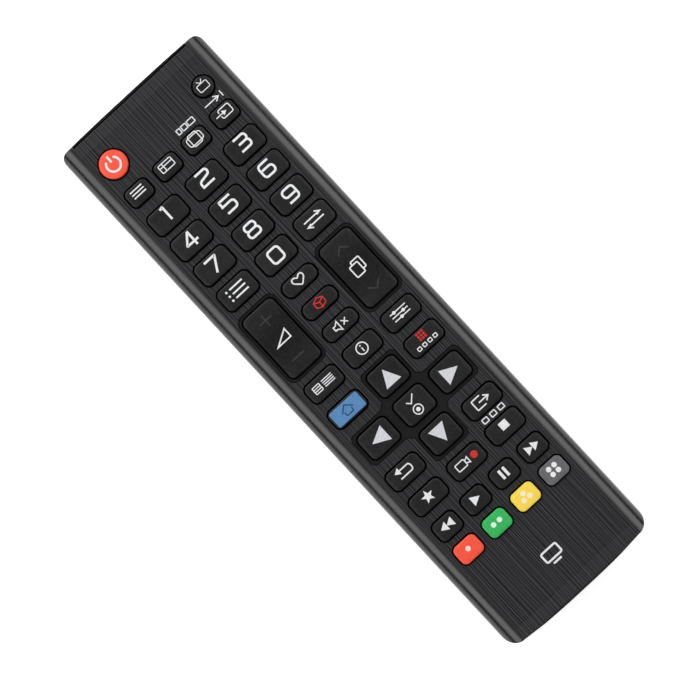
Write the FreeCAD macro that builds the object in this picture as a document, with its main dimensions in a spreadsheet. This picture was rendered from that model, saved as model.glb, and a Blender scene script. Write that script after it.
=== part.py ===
import FreeCAD, Part
import os
import re
import Sketcher

# A hand-held infrared remote control with a brushed face, forty-four push keys and two rockers.
# Millimetres: +X to the right, +Y towards the infrared window, +Z up out of the keys.
# The origin lies on the table, under the middle of the outline.

SIZES = (
    # Case outline and shell
    ("body_length", 194.2),
    ("body_width", 54.0),
    ("wall", 1.8),
    ("shoulder_radius", 4.5),
    ("belly_radius", 7.0),
    ("head_bow", 0.5),
    ("tail_bow", 1.5),
    ("head_corner", 2.5),
    ("tail_corner", 4.0),
    ("end_edge_radius", 1.0),
    ("heel_radius", 5.0),
    ("head_lift", 4.0),
    ("head_lift_length", 27.0),
    ("lift_bend_radius", 60.0),
    # Joint between the two covers
    ("lip_height", 1.2),
    ("lip_thickness", 0.85),
    ("lip_gap", 0.1),
    # Infrared window and emitter
    ("window_margin", 5.0),
    ("window_depth", 1.1),
    ("window_seat", 0.2),
    ("beam_slot_width", 12.0),
    ("led_diameter", 3.0),
    ("led_length", 5.0),
    ("led_tip_diameter", 1.6),
    ("led_gap", 0.3),
    ("lead_width", 0.5),
    ("lead_pitch", 2.54),
    ("lead_reach", 3.0),
    # Battery door
    ("door_margin", 4.65),
    ("door_thickness", 1.6),
    ("door_rib", 1.4),
    ("rail_reach", 1.3),
    ("rail_thickness", 1.0),
    ("slide_gap", 0.3),
    ("groove_length", 14.0),
    ("groove_width", 1.0),
    ("groove_depth", 0.5),
    ("groove_pitch", 2.2),
    ("groove_inset", 8.0),
    # Batteries and their bay
    ("battery_diameter", 10.5),
    ("battery_length", 44.5),
    ("nub_diameter", 3.8),
    ("nub_length", 0.8),
    ("cell_gap", 1.1),
    ("battery_gap", 0.3),
    ("bay_gap", 0.2),
    ("bay_wall", 1.0),
    ("bay_margin", 1.35),
    ("spring_room", 5.0),
    ("flat_room", 1.2),
    ("contact_thickness", 0.4),
    ("contact_width", 8.0),
    ("contact_margin", 1.4),
    ("leaf_width", 5.0),
    ("leaf_gap", 0.1),
    ("dimple_size", 4.0),
    ("dimple_height", 0.7),
    # Screw at the tail and its bosses
    ("screw_inset", 7.6),
    ("boss_wall", 1.0),
    ("boss_height", 4.2),
    ("post_wall", 1.6),
    ("screw_head_diameter", 5.0),
    ("screw_head_height", 1.6),
    ("screw_sink", 0.4),
    ("screw_diameter", 2.2),
    ("screw_tip_room", 2.8),
    ("screw_gap", 0.2),
    # Circuit board, mat and the parts on the board
    ("board_gap", 2.2),
    ("board_thickness", 1.2),
    ("board_tail_margin", 2.4),
    ("mat_thickness", 0.6),
    ("mat_notch_width", 8.0),
    ("mat_notch_length", 6.0),
    ("dome_height", 0.5),
    ("dome_gap", 0.2),
    ("dome_share", 0.6),
    ("rib_thickness", 1.2),
    ("clamp_rib_thickness", 1.4),
    ("chip_length", 10.0),
    ("chip_width", 6.4),
    ("chip_height", 2.3),
    ("chip_lead_reach", 1.2),
    ("chip_lead_height", 1.0),
    ("chip_offset", 8.8),
    ("can_diameter", 5.0),
    ("can_length", 7.0),
    ("crystal_length", 10.0),
    ("crystal_height", 3.4),
    ("resistor_length", 3.2),
    ("resistor_width", 1.6),
    ("resistor_height", 0.6),
    # Keys: how they stand, travel and fit
    ("key_stand", 1.0),
    ("key_travel", 1.0),
    ("key_gap", 0.3),
    ("key_chamfer", 0.35),
    ("flange_thickness", 0.9),
    ("flange_catch", 0.3),
    ("flange_gap", 0.2),
    ("rocker_tab", 4.0),
    ("recess_depth", 0.45),
    ("rocker_rim", 1.2),
    ("rocker_rim_corner", 2.6),
    ("pad_rim", 1.2),
    ("pad_rim_corner", 1.5),
    # Key sizes
    ("power_diameter", 8.6),
    ("radio_diameter", 6.2),
    ("small_width", 7.95),
    ("small_height", 5.65),
    ("small_corner", 1.5),
    ("digit_width", 11.6),
    ("digit_height", 7.2),
    ("digit_corner", 1.7),
    ("pill_height", 4.9),
    ("pill_corner", 2.0),
    ("rocker_overhang", 0.1),
    ("rocker_corner", 1.7),
    ("word_height", 6.2),
    ("word_corner", 1.7),
    ("arrow_width", 10.6),
    ("arrow_height", 8.5),
    ("arrow_corner", 1.6),
    ("media_width", 8.1),
    ("media_height", 6.3),
    ("media_corner", 1.7),
    # Key places: across from the middle, and gaps along the remote from the head end down
    ("power_x", 16.6),
    ("power_inset", 12.3),
    ("radio_x", 17.6),
    ("radio_drop", 1.0),
    ("column_gap", 3.4),
    ("quad_gap", 3.06),
    ("head_row_gap", 3.975),
    ("digit_gap", 2.64),
    ("rocker_gap", 3.78),
    ("pill_gap", 3.75),
    ("word_gap", 3.7),
    ("pad_row_gap", 3.5),
    ("pad_gap_x", 3.45),
    ("pad_gap_y", 2.75),
    ("back_gap", 3.6),
    ("play_gap", 3.65),
    ("colour_gap", 2.7),
)

# Sizes and places that follow from the ones above
DERIVED = (
    # Heights, from the table up
    ("rail_low", "wall + slide_gap"),
    ("rail_high", "rail_low + rail_thickness"),
    ("deck_low", "rail_high + slide_gap"),
    ("deck_high", "deck_low + bay_wall"),
    ("battery_low", "door_thickness + battery_gap"),
    ("battery_middle", "battery_low + battery_diameter / 2"),
    ("bay_ceiling", "battery_low + battery_diameter + bay_gap"),
    ("parting", "bay_ceiling + bay_wall"),
    ("board_top", "parting + board_thickness"),
    ("mat_top", "board_top + mat_thickness"),
    ("flange_low", "mat_top + dome_height + dome_gap + key_travel"),
    ("flange_high", "flange_low + flange_thickness"),
    ("face_under", "max(flange_high + flange_gap; board_top + led_diameter + 2 * lip_gap)"),
    ("body_height", "face_under + wall"),
    ("key_top", "body_height + key_stand"),
    ("window_low", "parting + lip_height + lip_gap + window_seat"),
    ("screw_seat", "deck_low + screw_sink + screw_head_height"),
    ("screw_length", "face_under - screw_seat - screw_tip_room"),
    ("boss_top", "deck_low + boss_height"),
    # Widths and diameters
    ("lip_inset", "wall - lip_thickness"),
    ("window_width", "body_width - 2 * window_margin"),
    ("door_width", "body_width - 2 * belly_radius"),
    ("board_width", "body_width - 2 * wall - 2 * board_gap"),
    ("battery_pitch", "battery_diameter + cell_gap"),
    ("bay_half", "battery_pitch / 2 + battery_diameter / 2 + bay_gap"),
    ("boss_diameter", "screw_head_diameter + 2 * screw_gap + 2 * boss_wall"),
    ("post_diameter", "screw_diameter + 2 * lip_gap + 2 * post_wall"),
    ("tail_radius", "(body_width ^ 2 / 4 + tail_bow ^ 2) / (2 * tail_bow)"),
    ("head_radius", "(body_width ^ 2 / 4 + head_bow ^ 2) / (2 * head_bow)"),
    # Places along the bay, from the tail end up
    ("screw_row", "-body_length / 2 + screw_inset"),
    ("bay_tail", "screw_row + boss_diameter / 2 + bay_wall + bay_margin"),
    ("bay_head", "bay_tail + spring_room + battery_length + flat_room"),
    ("door_edge", "bay_head + bay_wall + door_margin"),
    ("door_length", "door_edge + body_length / 2"),
    # Key sizes and pitches that keys share
    ("flange_reach", "key_gap + flange_catch"),
    ("pill_width", "digit_width"),
    ("rocker_width", "digit_width"),
    ("word_width", "digit_width"),
    ("column_pitch", "digit_width + column_gap"),
    ("quad_pitch", "max(small_width; media_width) + quad_gap"),
    ("digit_pitch", "digit_height + digit_gap"),
    ("pill_pitch", "pill_height + pill_gap"),
    ("rocker_height", "2 * pill_pitch + pill_height + 2 * rocker_overhang"),
    ("pad_reach_x", "arrow_width + pad_gap_x"),
    ("pad_reach_y", "arrow_height + pad_gap_y"),
    # Rows of keys, from the head end down
    ("power_row", "body_length / 2 - power_inset"),
    ("radio_row", "power_row - radio_drop"),
    ("menu_row", "power_row - power_diameter / 2 - head_row_gap - small_height / 2"),
    ("digit_row", "menu_row - small_height / 2 - head_row_gap - digit_height / 2"),
    ("zero_row", "digit_row - 3 * digit_pitch"),
    ("rocker_row", "zero_row - digit_height / 2 - rocker_gap - rocker_height / 2"),
    ("text_row", "rocker_row - rocker_height / 2 - word_gap - word_height / 2"),
    ("home_row", "text_row - word_height - word_gap"),
    ("up_row", "text_row - word_height / 2 - pad_row_gap - arrow_height / 2"),
    ("pad_row", "up_row - pad_reach_y"),
    ("down_row", "pad_row - pad_reach_y"),
    ("record_row", "down_row - arrow_height / 2 - pad_row_gap - word_height / 2"),
    ("back_row", "record_row + word_height + back_gap"),
    ("play_row", "record_row - word_height / 2 - play_gap - media_height / 2"),
    ("colour_row", "play_row - media_height - colour_gap"),
    # Board and what stands on it
    ("board_head", "body_length / 2 - wall - 2 * led_gap - led_length"),
    ("clamp_rib_row", "colour_row - media_height / 2 - flange_reach - clamp_rib_thickness / 2 - key_gap"),
    ("board_tail", "clamp_rib_row - board_tail_margin"),
    ("chip_row", "rocker_row + chip_offset"),
)

# Keys: name, family, place across and place along
KEYS = [
    ("key_power", "power", "-power_x", "power_row"),
    ("key_radio", "radio", "radio_x", "radio_row"),
    ("key_list", "digit", "-column_pitch", "zero_row"),
    ("key_0", "digit", "0", "zero_row"),
    ("key_recall", "digit", "column_pitch", "zero_row"),
    ("key_fav", "pill", "0", "rocker_row + pill_pitch"),
    ("key_3d", "pill", "0", "rocker_row"),
    ("key_mute", "pill", "0", "rocker_row - pill_pitch"),
    ("key_volume", "rocker", "-column_pitch", "rocker_row"),
    ("key_page", "rocker", "column_pitch", "rocker_row"),
    ("key_text", "word", "-column_pitch", "text_row"),
    ("key_info", "word", "0", "text_row"),
    ("key_options", "word", "column_pitch", "text_row"),
    ("key_home", "word", "-column_pitch", "home_row"),
    ("key_apps", "word", "column_pitch", "home_row"),
    ("key_up", "arrow", "0", "up_row"),
    ("key_left", "arrow", "-pad_reach_x", "pad_row"),
    ("key_ok", "arrow", "0", "pad_row"),
    ("key_right", "arrow", "pad_reach_x", "pad_row"),
    ("key_down", "arrow", "0", "down_row"),
    ("key_back", "word", "-column_pitch", "back_row"),
    ("key_exit", "word", "column_pitch", "back_row"),
    ("key_app_star", "word", "-column_pitch", "record_row"),
    ("key_record", "word", "0", "record_row"),
    ("key_stop", "word", "column_pitch", "record_row"),
]
for number in range(9):
    across = f"{number % 3 - 1} * column_pitch"
    KEYS.append((f"key_{number + 1}", "digit", across, f"digit_row - {number // 3} * digit_pitch"))
for row_names, family, row in (
    (("key_menu", "key_guide", "key_ratio", "key_input"), "small", "menu_row"),
    (("key_rewind", "key_play", "key_pause", "key_forward"), "media", "play_row"),
    (("key_red", "key_green", "key_yellow", "key_grey"), "media", "colour_row"),
):
    for place, name in enumerate(row_names):
        KEYS.append((name, family, f"{place - 1.5} * quad_pitch", row))
ROUND_KEYS = ("power", "radio")
FAMILIES = ("power", "radio", "small", "digit", "pill", "rocker", "word", "arrow", "media")

doc = FreeCAD.newDocument("RemoteControl")
sheet = doc.addObject("Spreadsheet::Sheet", "Sizes")
LINES = SIZES + tuple((alias, f"={formula}") for alias, formula in DERIVED)
for line, (alias, content) in enumerate(LINES, start=1):
    sheet.set(f"A{line}", alias)
    sheet.set(f"B{line}", str(content))
    sheet.setAlias(f"B{line}", alias)
doc.recompute()
ALIASES = {alias for alias, content in LINES}


def value(formula):
    """The number that a formula of sizes gives."""
    return float(sheet.evalExpression(formula))


def bind(item, path, formula):
    """Ties one property of an object to a formula of the sheet's sizes."""
    words = re.sub(r"[a-z]\w*", lambda word: "Sizes." * (word.group() in ALIASES) + word.group(), formula)
    item.setExpression(path, words)


def move_to(item, across="0", along="0", up="0"):
    """Ties an object's place to three formulas."""
    for letter, formula in zip("xyz", (across, along, up)):
        bind(item, f"Placement.Base.{letter}", formula)


def new_sketch(body, role, name, offset="0"):
    """A sketch on one of the body's own origin planes, moved along that plane's normal."""
    plane = next(item for item in body.Origin.OriginFeatures if item.Role == role)
    sketch = body.newObject("Sketcher::SketchObject", name)
    sketch.AttachmentSupport = [(plane, "")]
    sketch.MapMode = "FlatFace"
    bind(sketch, "AttachmentOffset.Base.z", offset)
    return sketch


def hold(sketch, rules, dimensions):
    """Adds constraints to a sketch: plain rules, then dimensions of a kind, a formula and what they hold."""
    first = len(sketch.Constraints) + len(rules)
    sized = [Sketcher.Constraint(kind, *ends, value(formula)) for kind, formula, *ends in dimensions]
    sketch.addConstraint(rules + sized)
    for index, (kind, formula, *ends) in enumerate(dimensions, start=first):
        bind(sketch, f"Constraints[{index}]", formula)


def point_place(shape, end, x, y):
    """The two dimensions that tie a point of a sketch to a place measured from the sketch's origin."""
    return [("DistanceX", x, -1, 1, shape, end), ("DistanceY", y, -1, 1, shape, end)]


def draw_polygon(sketch, corners):
    """Draws a closed outline of straight lines whose corners are pairs of formulas."""
    points = [FreeCAD.Vector(value(x), value(y), 0) for x, y in corners]
    first = sketch.GeometryCount
    following = list(range(first + 1, first + len(points))) + [first]
    sketch.addGeometry([Part.LineSegment(*ends) for ends in zip(points, points[1:] + points[:1])], False)
    rules = []
    dimensions = []
    for line, after, (x, y) in zip(range(first, first + len(points)), following, corners):
        rules.append(Sketcher.Constraint("Coincident", line, 2, after, 1))
        dimensions += point_place(line, 1, x, y)
    hold(sketch, rules, dimensions)


def draw_rectangle(sketch, left, right, low, high):
    """Draws a rectangle between four formulas."""
    draw_polygon(sketch, [(left, low), (right, low), (right, high), (left, high)])


def draw_circle(sketch, x, y, radius):
    """Draws a circle held by its centre and radius."""
    shape = sketch.GeometryCount
    centre = FreeCAD.Vector(value(x), value(y), 0)
    sketch.addGeometry(Part.Circle(centre, FreeCAD.Vector(0, 0, 1), value(radius)), False)
    hold(sketch, [], [("Radius", radius, shape)] + point_place(shape, 3, x, y))


def draw_rounded_rectangle(sketch, width, height, corner):
    """Draws a rectangle about the sketch's origin, each corner turned in three chords of one radius."""
    corners = []
    for turn, (side, end) in enumerate(((1, 1), (-1, 1), (-1, -1), (1, -1))):
        for step in range(4):
            angle = 90 * turn + 30 * step
            x = f"{side} * (({width}) / 2 - {corner}) + {corner} * cos({angle})"
            y = f"{end} * (({height}) / 2 - {corner}) + {corner} * sin({angle})"
            corners.append((x, y))
    draw_polygon(sketch, corners)


def extrude(body, sketch, length, symmetric=False):
    """Pads a sketch by a formula's length along its normal."""
    feature = body.newObject("PartDesign::Pad", "Pad")
    feature.Profile = sketch
    bind(feature, "Length", length)
    if symmetric:
        feature.SideType = "Symmetric"
    return feature


def cut_up(body, sketch, depth):
    """Cuts a sketch's outline out of the body, upwards from the sketch."""
    feature = body.newObject("PartDesign::Pocket", "Pocket")
    feature.Profile = sketch
    feature.Reversed = True
    bind(feature, "Length", depth)
    return feature


def revolve(body, corners):
    """Turns an outline of radius and length about the body's own Y axis."""
    sketch = new_sketch(body, "XY_Plane", "Profile")
    draw_polygon(sketch, corners)
    feature = body.newObject("PartDesign::Revolution", "Revolution")
    feature.Profile = sketch
    feature.ReferenceAxis = (sketch, ["V_Axis"])
    feature.Angle = 360


def edges_along(feature, direction, places):
    """Names of the straight edges of a feature that run along a direction through the given places."""
    names = []
    for index, edge in enumerate(feature.Shape.Edges, start=1):
        if not isinstance(edge.Curve, Part.Line) or abs(edge.Curve.Direction.dot(direction)) < 0.99:
            continue
        offsets = [edge.Vertexes[0].Point - place for place in places]
        if min((offset - direction * offset.dot(direction)).Length for offset in offsets) < 0.05:
            names.append(f"Edge{index}")
    return names


def round_edges(body, feature, radius, direction, places):
    """Rounds the straight edges of a feature that run along a direction through the given places."""
    doc.recompute()
    fillet = body.newObject("PartDesign::Fillet", "Fillet")
    fillet.Base = (feature, edges_along(feature, direction, places))
    bind(fillet, "Radius", radius)
    return fillet


def bevel_edges(body, feature, size, names):
    """Cuts the named edges of a feature at 45 degrees."""
    bevel = body.newObject("PartDesign::Chamfer", "Chamfer")
    bevel.Base = (feature, names)
    bind(bevel, "Size", size)
    return bevel


def combine(kind, label, base, tool):
    """A boolean of two objects: Part::Cut, Part::Fuse or Part::Common."""
    item = doc.addObject(kind, label)
    item.Base = base
    item.Tool = tool
    return item


def box(label, left, right, tail, head, low, high):
    """A plain block between six formulas."""
    item = doc.addObject("Part::Box", label)
    bind(item, "Length", f"{right} - ({left})")
    bind(item, "Width", f"{head} - ({tail})")
    bind(item, "Height", f"{high} - ({low})")
    move_to(item, left, tail, low)
    return item


X_AXIS = FreeCAD.Vector(1, 0, 0)
Y_AXIS = FreeCAD.Vector(0, 1, 0)
Z_AXIS = FreeCAD.Vector(0, 0, 1)


# Case forms: each shell is where a cross-section, a plan and a side profile meet

def section_form(label, inset):
    """The case's cross-section along its whole length, drawn in by an inset."""
    body = doc.addObject("PartDesign::Body", label)
    sketch = new_sketch(body, "XZ_Plane", "Section")
    half = f"(body_width / 2 - {inset})"
    draw_rectangle(sketch, f"-{half}", half, inset, f"body_height - {inset}")
    feature = extrude(body, sketch, "body_length + 2 * wall", symmetric=True)
    side = value(half)
    tops = [FreeCAD.Vector(side * hand, 0, value(f"body_height - {inset}")) for hand in (-1, 1)]
    bottoms = [FreeCAD.Vector(side * hand, 0, value(inset)) for hand in (-1, 1)]
    feature = round_edges(body, feature, f"shoulder_radius - {inset}", Y_AXIS, tops)
    round_edges(body, feature, f"belly_radius - {inset}", Y_AXIS, bottoms)
    return body


def plan_form(label, inset, low, high):
    """The case's outline from above, drawn in by an inset, between two heights."""
    body = doc.addObject("PartDesign::Body", label)
    sketch = new_sketch(body, "XY_Plane", "Plan", low)
    half = f"(body_width / 2 - {inset})"
    tail_arc = f"(tail_radius - {inset})"
    head_arc = f"(head_radius - {inset})"
    tail_end = f"(-body_length / 2 + tail_radius - sqrt({tail_arc} ^ 2 - {half} ^ 2))"
    head_end = f"(body_length / 2 - head_radius + sqrt({head_arc} ^ 2 - {half} ^ 2))"
    side = value(half)
    right_tail, left_tail = (FreeCAD.Vector(hand * side, value(tail_end), 0) for hand in (1, -1))
    right_head, left_head = (FreeCAD.Vector(hand * side, value(head_end), 0) for hand in (1, -1))
    head_middle = FreeCAD.Vector(0, value(f"body_length / 2 - {inset}"), 0)
    tail_middle = FreeCAD.Vector(0, value(f"-body_length / 2 + {inset}"), 0)
    sketch.addGeometry([
        Part.LineSegment(right_tail, right_head), Part.Arc(right_head, head_middle, left_head),
        Part.LineSegment(left_head, left_tail), Part.Arc(left_tail, tail_middle, right_tail)], False)
    rules = [Sketcher.Constraint("Coincident", index, 2, (index + 1) % 4, 1) for index in range(4)]
    hold(sketch, rules, [
        *point_place(0, 1, half, tail_end), *point_place(0, 2, half, head_end),
        *point_place(2, 1, f"-{half}", head_end), *point_place(2, 2, f"-{half}", tail_end),
        ("Radius", head_arc, 1), ("Radius", tail_arc, 3)])
    feature = extrude(body, sketch, f"{high} - {low}")
    feature = round_edges(body, feature, f"max(head_corner - {inset}; 0.3)", Z_AXIS, [right_head, left_head])
    round_edges(body, feature, f"max(tail_corner - {inset}; 0.3)", Z_AXIS, [right_tail, left_tail])
    return body


def side_form(label, corners, rounded):
    """A side profile across the whole width, with some of its corners rounded."""
    body = doc.addObject("PartDesign::Body", label)
    sketch = new_sketch(body, "YZ_Plane", "Profile")
    draw_polygon(sketch, corners)
    feature = extrude(body, sketch, "body_width + 2 * wall", symmetric=True)
    for radius, members in rounded:
        places = [FreeCAD.Vector(0, value(corners[index][0]), value(corners[index][1])) for index in members]
        feature = round_edges(body, feature, radius, X_AXIS, places)
    return body


def copy_at(label, form, across, along):
    """A linked copy of a form at another place."""
    item = doc.addObject("App::Link", label)
    item.LinkedObject = form
    move_to(item, across, along)
    return item


def meet(label, *forms):
    """The space that all the given forms share."""
    item = doc.addObject("Part::MultiCommon", label)
    item.Shapes = list(forms)
    return item


tail, head = "-body_length / 2", "body_length / 2"
lift_start = "(body_length / 2 - head_lift_length)"
outer_section = section_form("outer_section", "0")
outer_plan = plan_form("outer_plan", "0", "0", "body_height")
front_side = side_form(
    "front_side",
    [(tail, "parting"), (head, "parting"), (head, "body_height"), (tail, "body_height")],
    [("end_edge_radius", (2, 3))],
)
rear_side = side_form(
    "rear_side",
    [(tail, "0"), (lift_start, "0"), (head, "head_lift"), (head, "parting"), (tail, "parting")],
    [("heel_radius", (0,)), ("lift_bend_radius", (1,)), ("heel_radius / 2", (2,))],
)
inner_head_floor = "wall + head_lift * (head_lift_length - wall) / head_lift_length"
inner_tail, inner_head = "-body_length / 2 + wall", "body_length / 2 - wall"
inner_side = side_form(
    "inner_side",
    [(inner_tail, "wall"), (lift_start, "wall"), (inner_head, inner_head_floor),
     (inner_head, "face_under"), (inner_tail, "face_under")],
    [("heel_radius - wall", (0,)), ("lift_bend_radius", (1,))],
)
inner_section = section_form("inner_section", "wall")
inner_plan = plan_form("inner_plan", "wall", "0", "body_height")
front_outer = meet("front_outer", outer_section, outer_plan, front_side)
rear_outer = meet("rear_outer", outer_section, outer_plan, rear_side)
inner_space = meet("inner_space", inner_section, inner_plan, inner_side)


# Key blocks: the shape of a cap, and of the opening round it

def key_outline(body, name, family, grow, low):
    """The outline of a key of one family, grown all round."""
    sketch = new_sketch(body, "XY_Plane", name, low)
    if family in ROUND_KEYS:
        draw_circle(sketch, "0", "0", f"{family}_diameter / 2 + {grow}")
    else:
        width, height = f"{family}_width + 2 * {grow}", f"{family}_height + 2 * {grow}"
        draw_rounded_rectangle(sketch, width, height, f"({family}_corner + {grow})")
    return sketch


def key_sizes(family):
    """Width and height of a key's cap."""
    if family in ROUND_KEYS:
        return f"{family}_diameter", f"{family}_diameter"
    return f"{family}_width", f"{family}_height"


# Front cover: shell, window seat, rabbet for the lip, key openings, recesses, clamp ribs and post

opening_forms = {}
for family in FAMILIES:
    form = doc.addObject("PartDesign::Body", f"{family}_opening")
    extrude(form, key_outline(form, "Opening", family, "key_gap", "face_under - wall"), "3 * wall")
    opening_forms[family] = form
openings = [copy_at(f"opening_{name}", opening_forms[family], across, along)
            for name, family, across, along in KEYS]
openings.append(box("beam_slot", "-beam_slot_width / 2", "beam_slot_width / 2", "body_length / 2 - 2 * wall",
                    "body_length / 2 - window_depth", "window_low", "face_under - flange_gap"))
all_openings = doc.addObject("Part::Compound", "all_openings")
all_openings.Links = openings

rocker_recess = doc.addObject("PartDesign::Body", "rocker_recess")
sketch = new_sketch(rocker_recess, "XY_Plane", "Recess", "body_height - recess_depth")
draw_rounded_rectangle(sketch, "rocker_width + 2 * rocker_rim", "rocker_height + 2 * rocker_rim",
                       "rocker_rim_corner")
extrude(rocker_recess, sketch, "wall")
recesses = [copy_at(f"recess_{name}", rocker_recess, across, along)
            for name, family, across, along in KEYS if family == "rocker"]
pad_recess = doc.addObject("PartDesign::Body", "recess_pad")
sketch = new_sketch(pad_recess, "XY_Plane", "Cross", "body_height - recess_depth")
inner_x, inner_y = "(arrow_width / 2 + pad_rim)", "(arrow_height / 2 + pad_rim)"
outer_x, outer_y = f"(pad_reach_x + {inner_x})", f"(pad_reach_y + {inner_y})"
cross = []
for hand_x, hand_y, side_first in ((1, 1, True), (-1, 1, False), (-1, -1, True), (1, -1, False)):
    arm = [(outer_x, inner_y), (inner_x, inner_y), (inner_x, outer_y)]
    for x, y in arm if side_first else reversed(arm):
        cross.append((f"{hand_x} * {x}", f"{hand_y} * {y}"))
draw_polygon(sketch, cross)
feature = extrude(pad_recess, sketch, "wall")
doc.recompute()
cross_corners = [FreeCAD.Vector(value(x), value(y), 0) for x, y in cross]
bevel_edges(pad_recess, feature, "pad_rim_corner", edges_along(feature, Z_AXIS, cross_corners))
move_to(pad_recess, "0", "pad_row")
recesses.append(pad_recess)
all_recesses = doc.addObject("Part::Compound", "all_recesses")
all_recesses.Links = recesses

front_works = doc.addObject("PartDesign::Body", "front_works")
ribs = new_sketch(front_works, "XY_Plane", "ClampRibs", "mat_top")
for hand in (-1, 1):
    middle = f"{hand} * column_pitch / 2"
    draw_rectangle(ribs, f"{middle} - clamp_rib_thickness / 2", f"{middle} + clamp_rib_thickness / 2",
                   "text_row - word_height / 2", "digit_row + digit_height / 2")
draw_rectangle(ribs, "-board_width / 2 + 2 * wall", "board_width / 2 - 2 * wall",
               "clamp_rib_row - clamp_rib_thickness / 2", "clamp_rib_row + clamp_rib_thickness / 2")
extrude(front_works, ribs, "face_under - mat_top + wall / 4")
post = new_sketch(front_works, "XY_Plane", "Post", "boss_top")
draw_circle(post, "0", "screw_row", "post_diameter / 2")
extrude(front_works, post, "face_under - boss_top + wall / 4")
pilot = new_sketch(front_works, "XY_Plane", "Pilot", "boss_top")
draw_circle(pilot, "0", "screw_row", "screw_diameter / 2 + lip_gap")
cut_up(front_works, pilot, "screw_seat + screw_length - boss_top + wall / 4")

rabbet = plan_form("rabbet", "(lip_inset - lip_gap)", "parting", "(parting + lip_height + lip_gap)")
window_seat = box("window_seat", "-window_width / 2", "window_width / 2", "body_length / 2 - window_depth",
                  "body_length / 2 + wall", "window_low", "body_height + wall")
shell = combine("Part::Cut", "front_shell", front_outer, inner_space)
shell = combine("Part::Cut", "front_rabbeted", shell, rabbet)
shell = combine("Part::Fuse", "front_ribbed", shell, front_works)
shell = combine("Part::Cut", "front_seated", shell, window_seat)
shell = combine("Part::Cut", "front_recessed", shell, all_recesses)
front_cover = combine("Part::Cut", "front_cover", shell, all_openings)

ir_window = meet("ir_window", front_outer, window_seat)


# Rear cover: shell with the battery tray, board ribs, screw boss and lip, opened for the door

tray = doc.addObject("PartDesign::Body", "tray")
half_width = "body_width / 2"
deck = new_sketch(tray, "XY_Plane", "Deck", "deck_low")
draw_rectangle(deck, f"-{half_width}", half_width, tail, "door_edge + slide_gap + bay_wall")
extrude(tray, deck, "bay_wall")
sill = new_sketch(tray, "XY_Plane", "Sill")
draw_rectangle(sill, f"-{half_width}", half_width, "door_edge + slide_gap",
               "door_edge + slide_gap + bay_wall")
extrude(tray, sill, "deck_high")
well = new_sketch(tray, "XY_Plane", "Well", "deck_low")
draw_rectangle(well, "-bay_half - bay_wall", "bay_half + bay_wall",
               "bay_tail - bay_wall", "bay_head + bay_wall")
extrude(tray, well, "parting - deck_low")
boss = new_sketch(tray, "XY_Plane", "Boss", "deck_low")
draw_circle(boss, "0", "screw_row", "boss_diameter / 2")
extrude(tray, boss, "boss_height")
board_ribs = new_sketch(tray, "XY_Plane", "BoardRibs")
for row in ("text_row + word_height", "digit_row - 2 * digit_pitch", "menu_row + small_height"):
    draw_rectangle(board_ribs, f"-{half_width}", half_width, f"{row} - rib_thickness / 2",
                   f"{row} + rib_thickness / 2")
extrude(tray, board_ribs, "parting")
cavity = new_sketch(tray, "XY_Plane", "Cavity", "deck_low - bay_wall")
draw_rectangle(cavity, "-bay_half", "bay_half", "bay_tail", "bay_head")
cut_up(tray, cavity, "bay_ceiling - deck_low + bay_wall")

sink = new_sketch(tray, "XY_Plane", "Counterbore", "deck_low")
draw_circle(sink, "0", "screw_row", "screw_head_diameter / 2 + screw_gap")
cut_up(tray, sink, "screw_seat - deck_low")
bore = new_sketch(tray, "XY_Plane", "Bore", "deck_low")
draw_circle(bore, "0", "screw_row", "screw_diameter / 2 + screw_gap")
cut_up(tray, bore, "boss_height + wall")

slot = doc.addObject("PartDesign::Body", "door_slot")
mouth = new_sketch(slot, "XY_Plane", "Mouth", "-wall")
slot_half = "(door_width / 2 + slide_gap)"
rail_half = "(door_width / 2 + rail_reach + slide_gap)"
draw_rectangle(mouth, f"-{slot_half}", slot_half, "-body_length / 2 - wall", "door_edge + slide_gap")
extrude(slot, mouth, "deck_low + wall")
runway = new_sketch(slot, "XY_Plane", "Runway", "wall")
draw_rectangle(runway, f"-{rail_half}", rail_half, "-body_length / 2 - wall", "door_edge + slide_gap")
extrude(slot, runway, "deck_low - wall")

lip_block = plan_form("lip_block", "lip_inset", "parting", "(parting + lip_height)")
lip = combine("Part::Cut", "lip", lip_block, inner_plan)
hollow = combine("Part::Cut", "rear_hollow", inner_space, tray)
shell = combine("Part::Cut", "rear_shell", rear_outer, hollow)
shell = combine("Part::Cut", "rear_slotted", shell, slot)
rear_cover = combine("Part::Fuse", "rear_cover", shell, lip)


# Battery door: a plate with two railed ribs and an upturned tail, cut to the case's outer form

door = doc.addObject("PartDesign::Body", "door_blank")
section = new_sketch(door, "XZ_Plane", "Section", "-door_edge")
plate_half, flange_half = "(door_width / 2)", "(door_width / 2 + rail_reach)"
draw_polygon(section, [
    (f"-{plate_half}", "0"), (plate_half, "0"), (plate_half, "rail_low"), (flange_half, "rail_low"),
    (flange_half, "rail_high"), (f"-{flange_half}", "rail_high"), (f"-{flange_half}", "rail_low"),
    (f"-{plate_half}", "rail_low")])
extrude(door, section, "door_length + wall")
channel = new_sketch(door, "XY_Plane", "Channel", "door_thickness")
channel_half = "(door_width / 2 - door_rib)"
draw_rectangle(channel, f"-{channel_half}", channel_half, "-body_length / 2 + tail_bow + wall",
               "door_edge + wall")
cut_up(door, channel, "body_height / 2")
grooves = new_sketch(door, "XY_Plane", "Grooves")
for index in range(5):
    row = f"door_edge - groove_inset - {index} * groove_pitch"
    draw_rectangle(grooves, "-groove_length / 2", "groove_length / 2", f"{row} - groove_width / 2",
                   f"{row} + groove_width / 2")
cut_up(door, grooves, "groove_depth")
battery_door = meet("battery_door", door, rear_outer)


# Batteries: each lies on the axis of its half of the bay, with opposite ends towards the head

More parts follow.
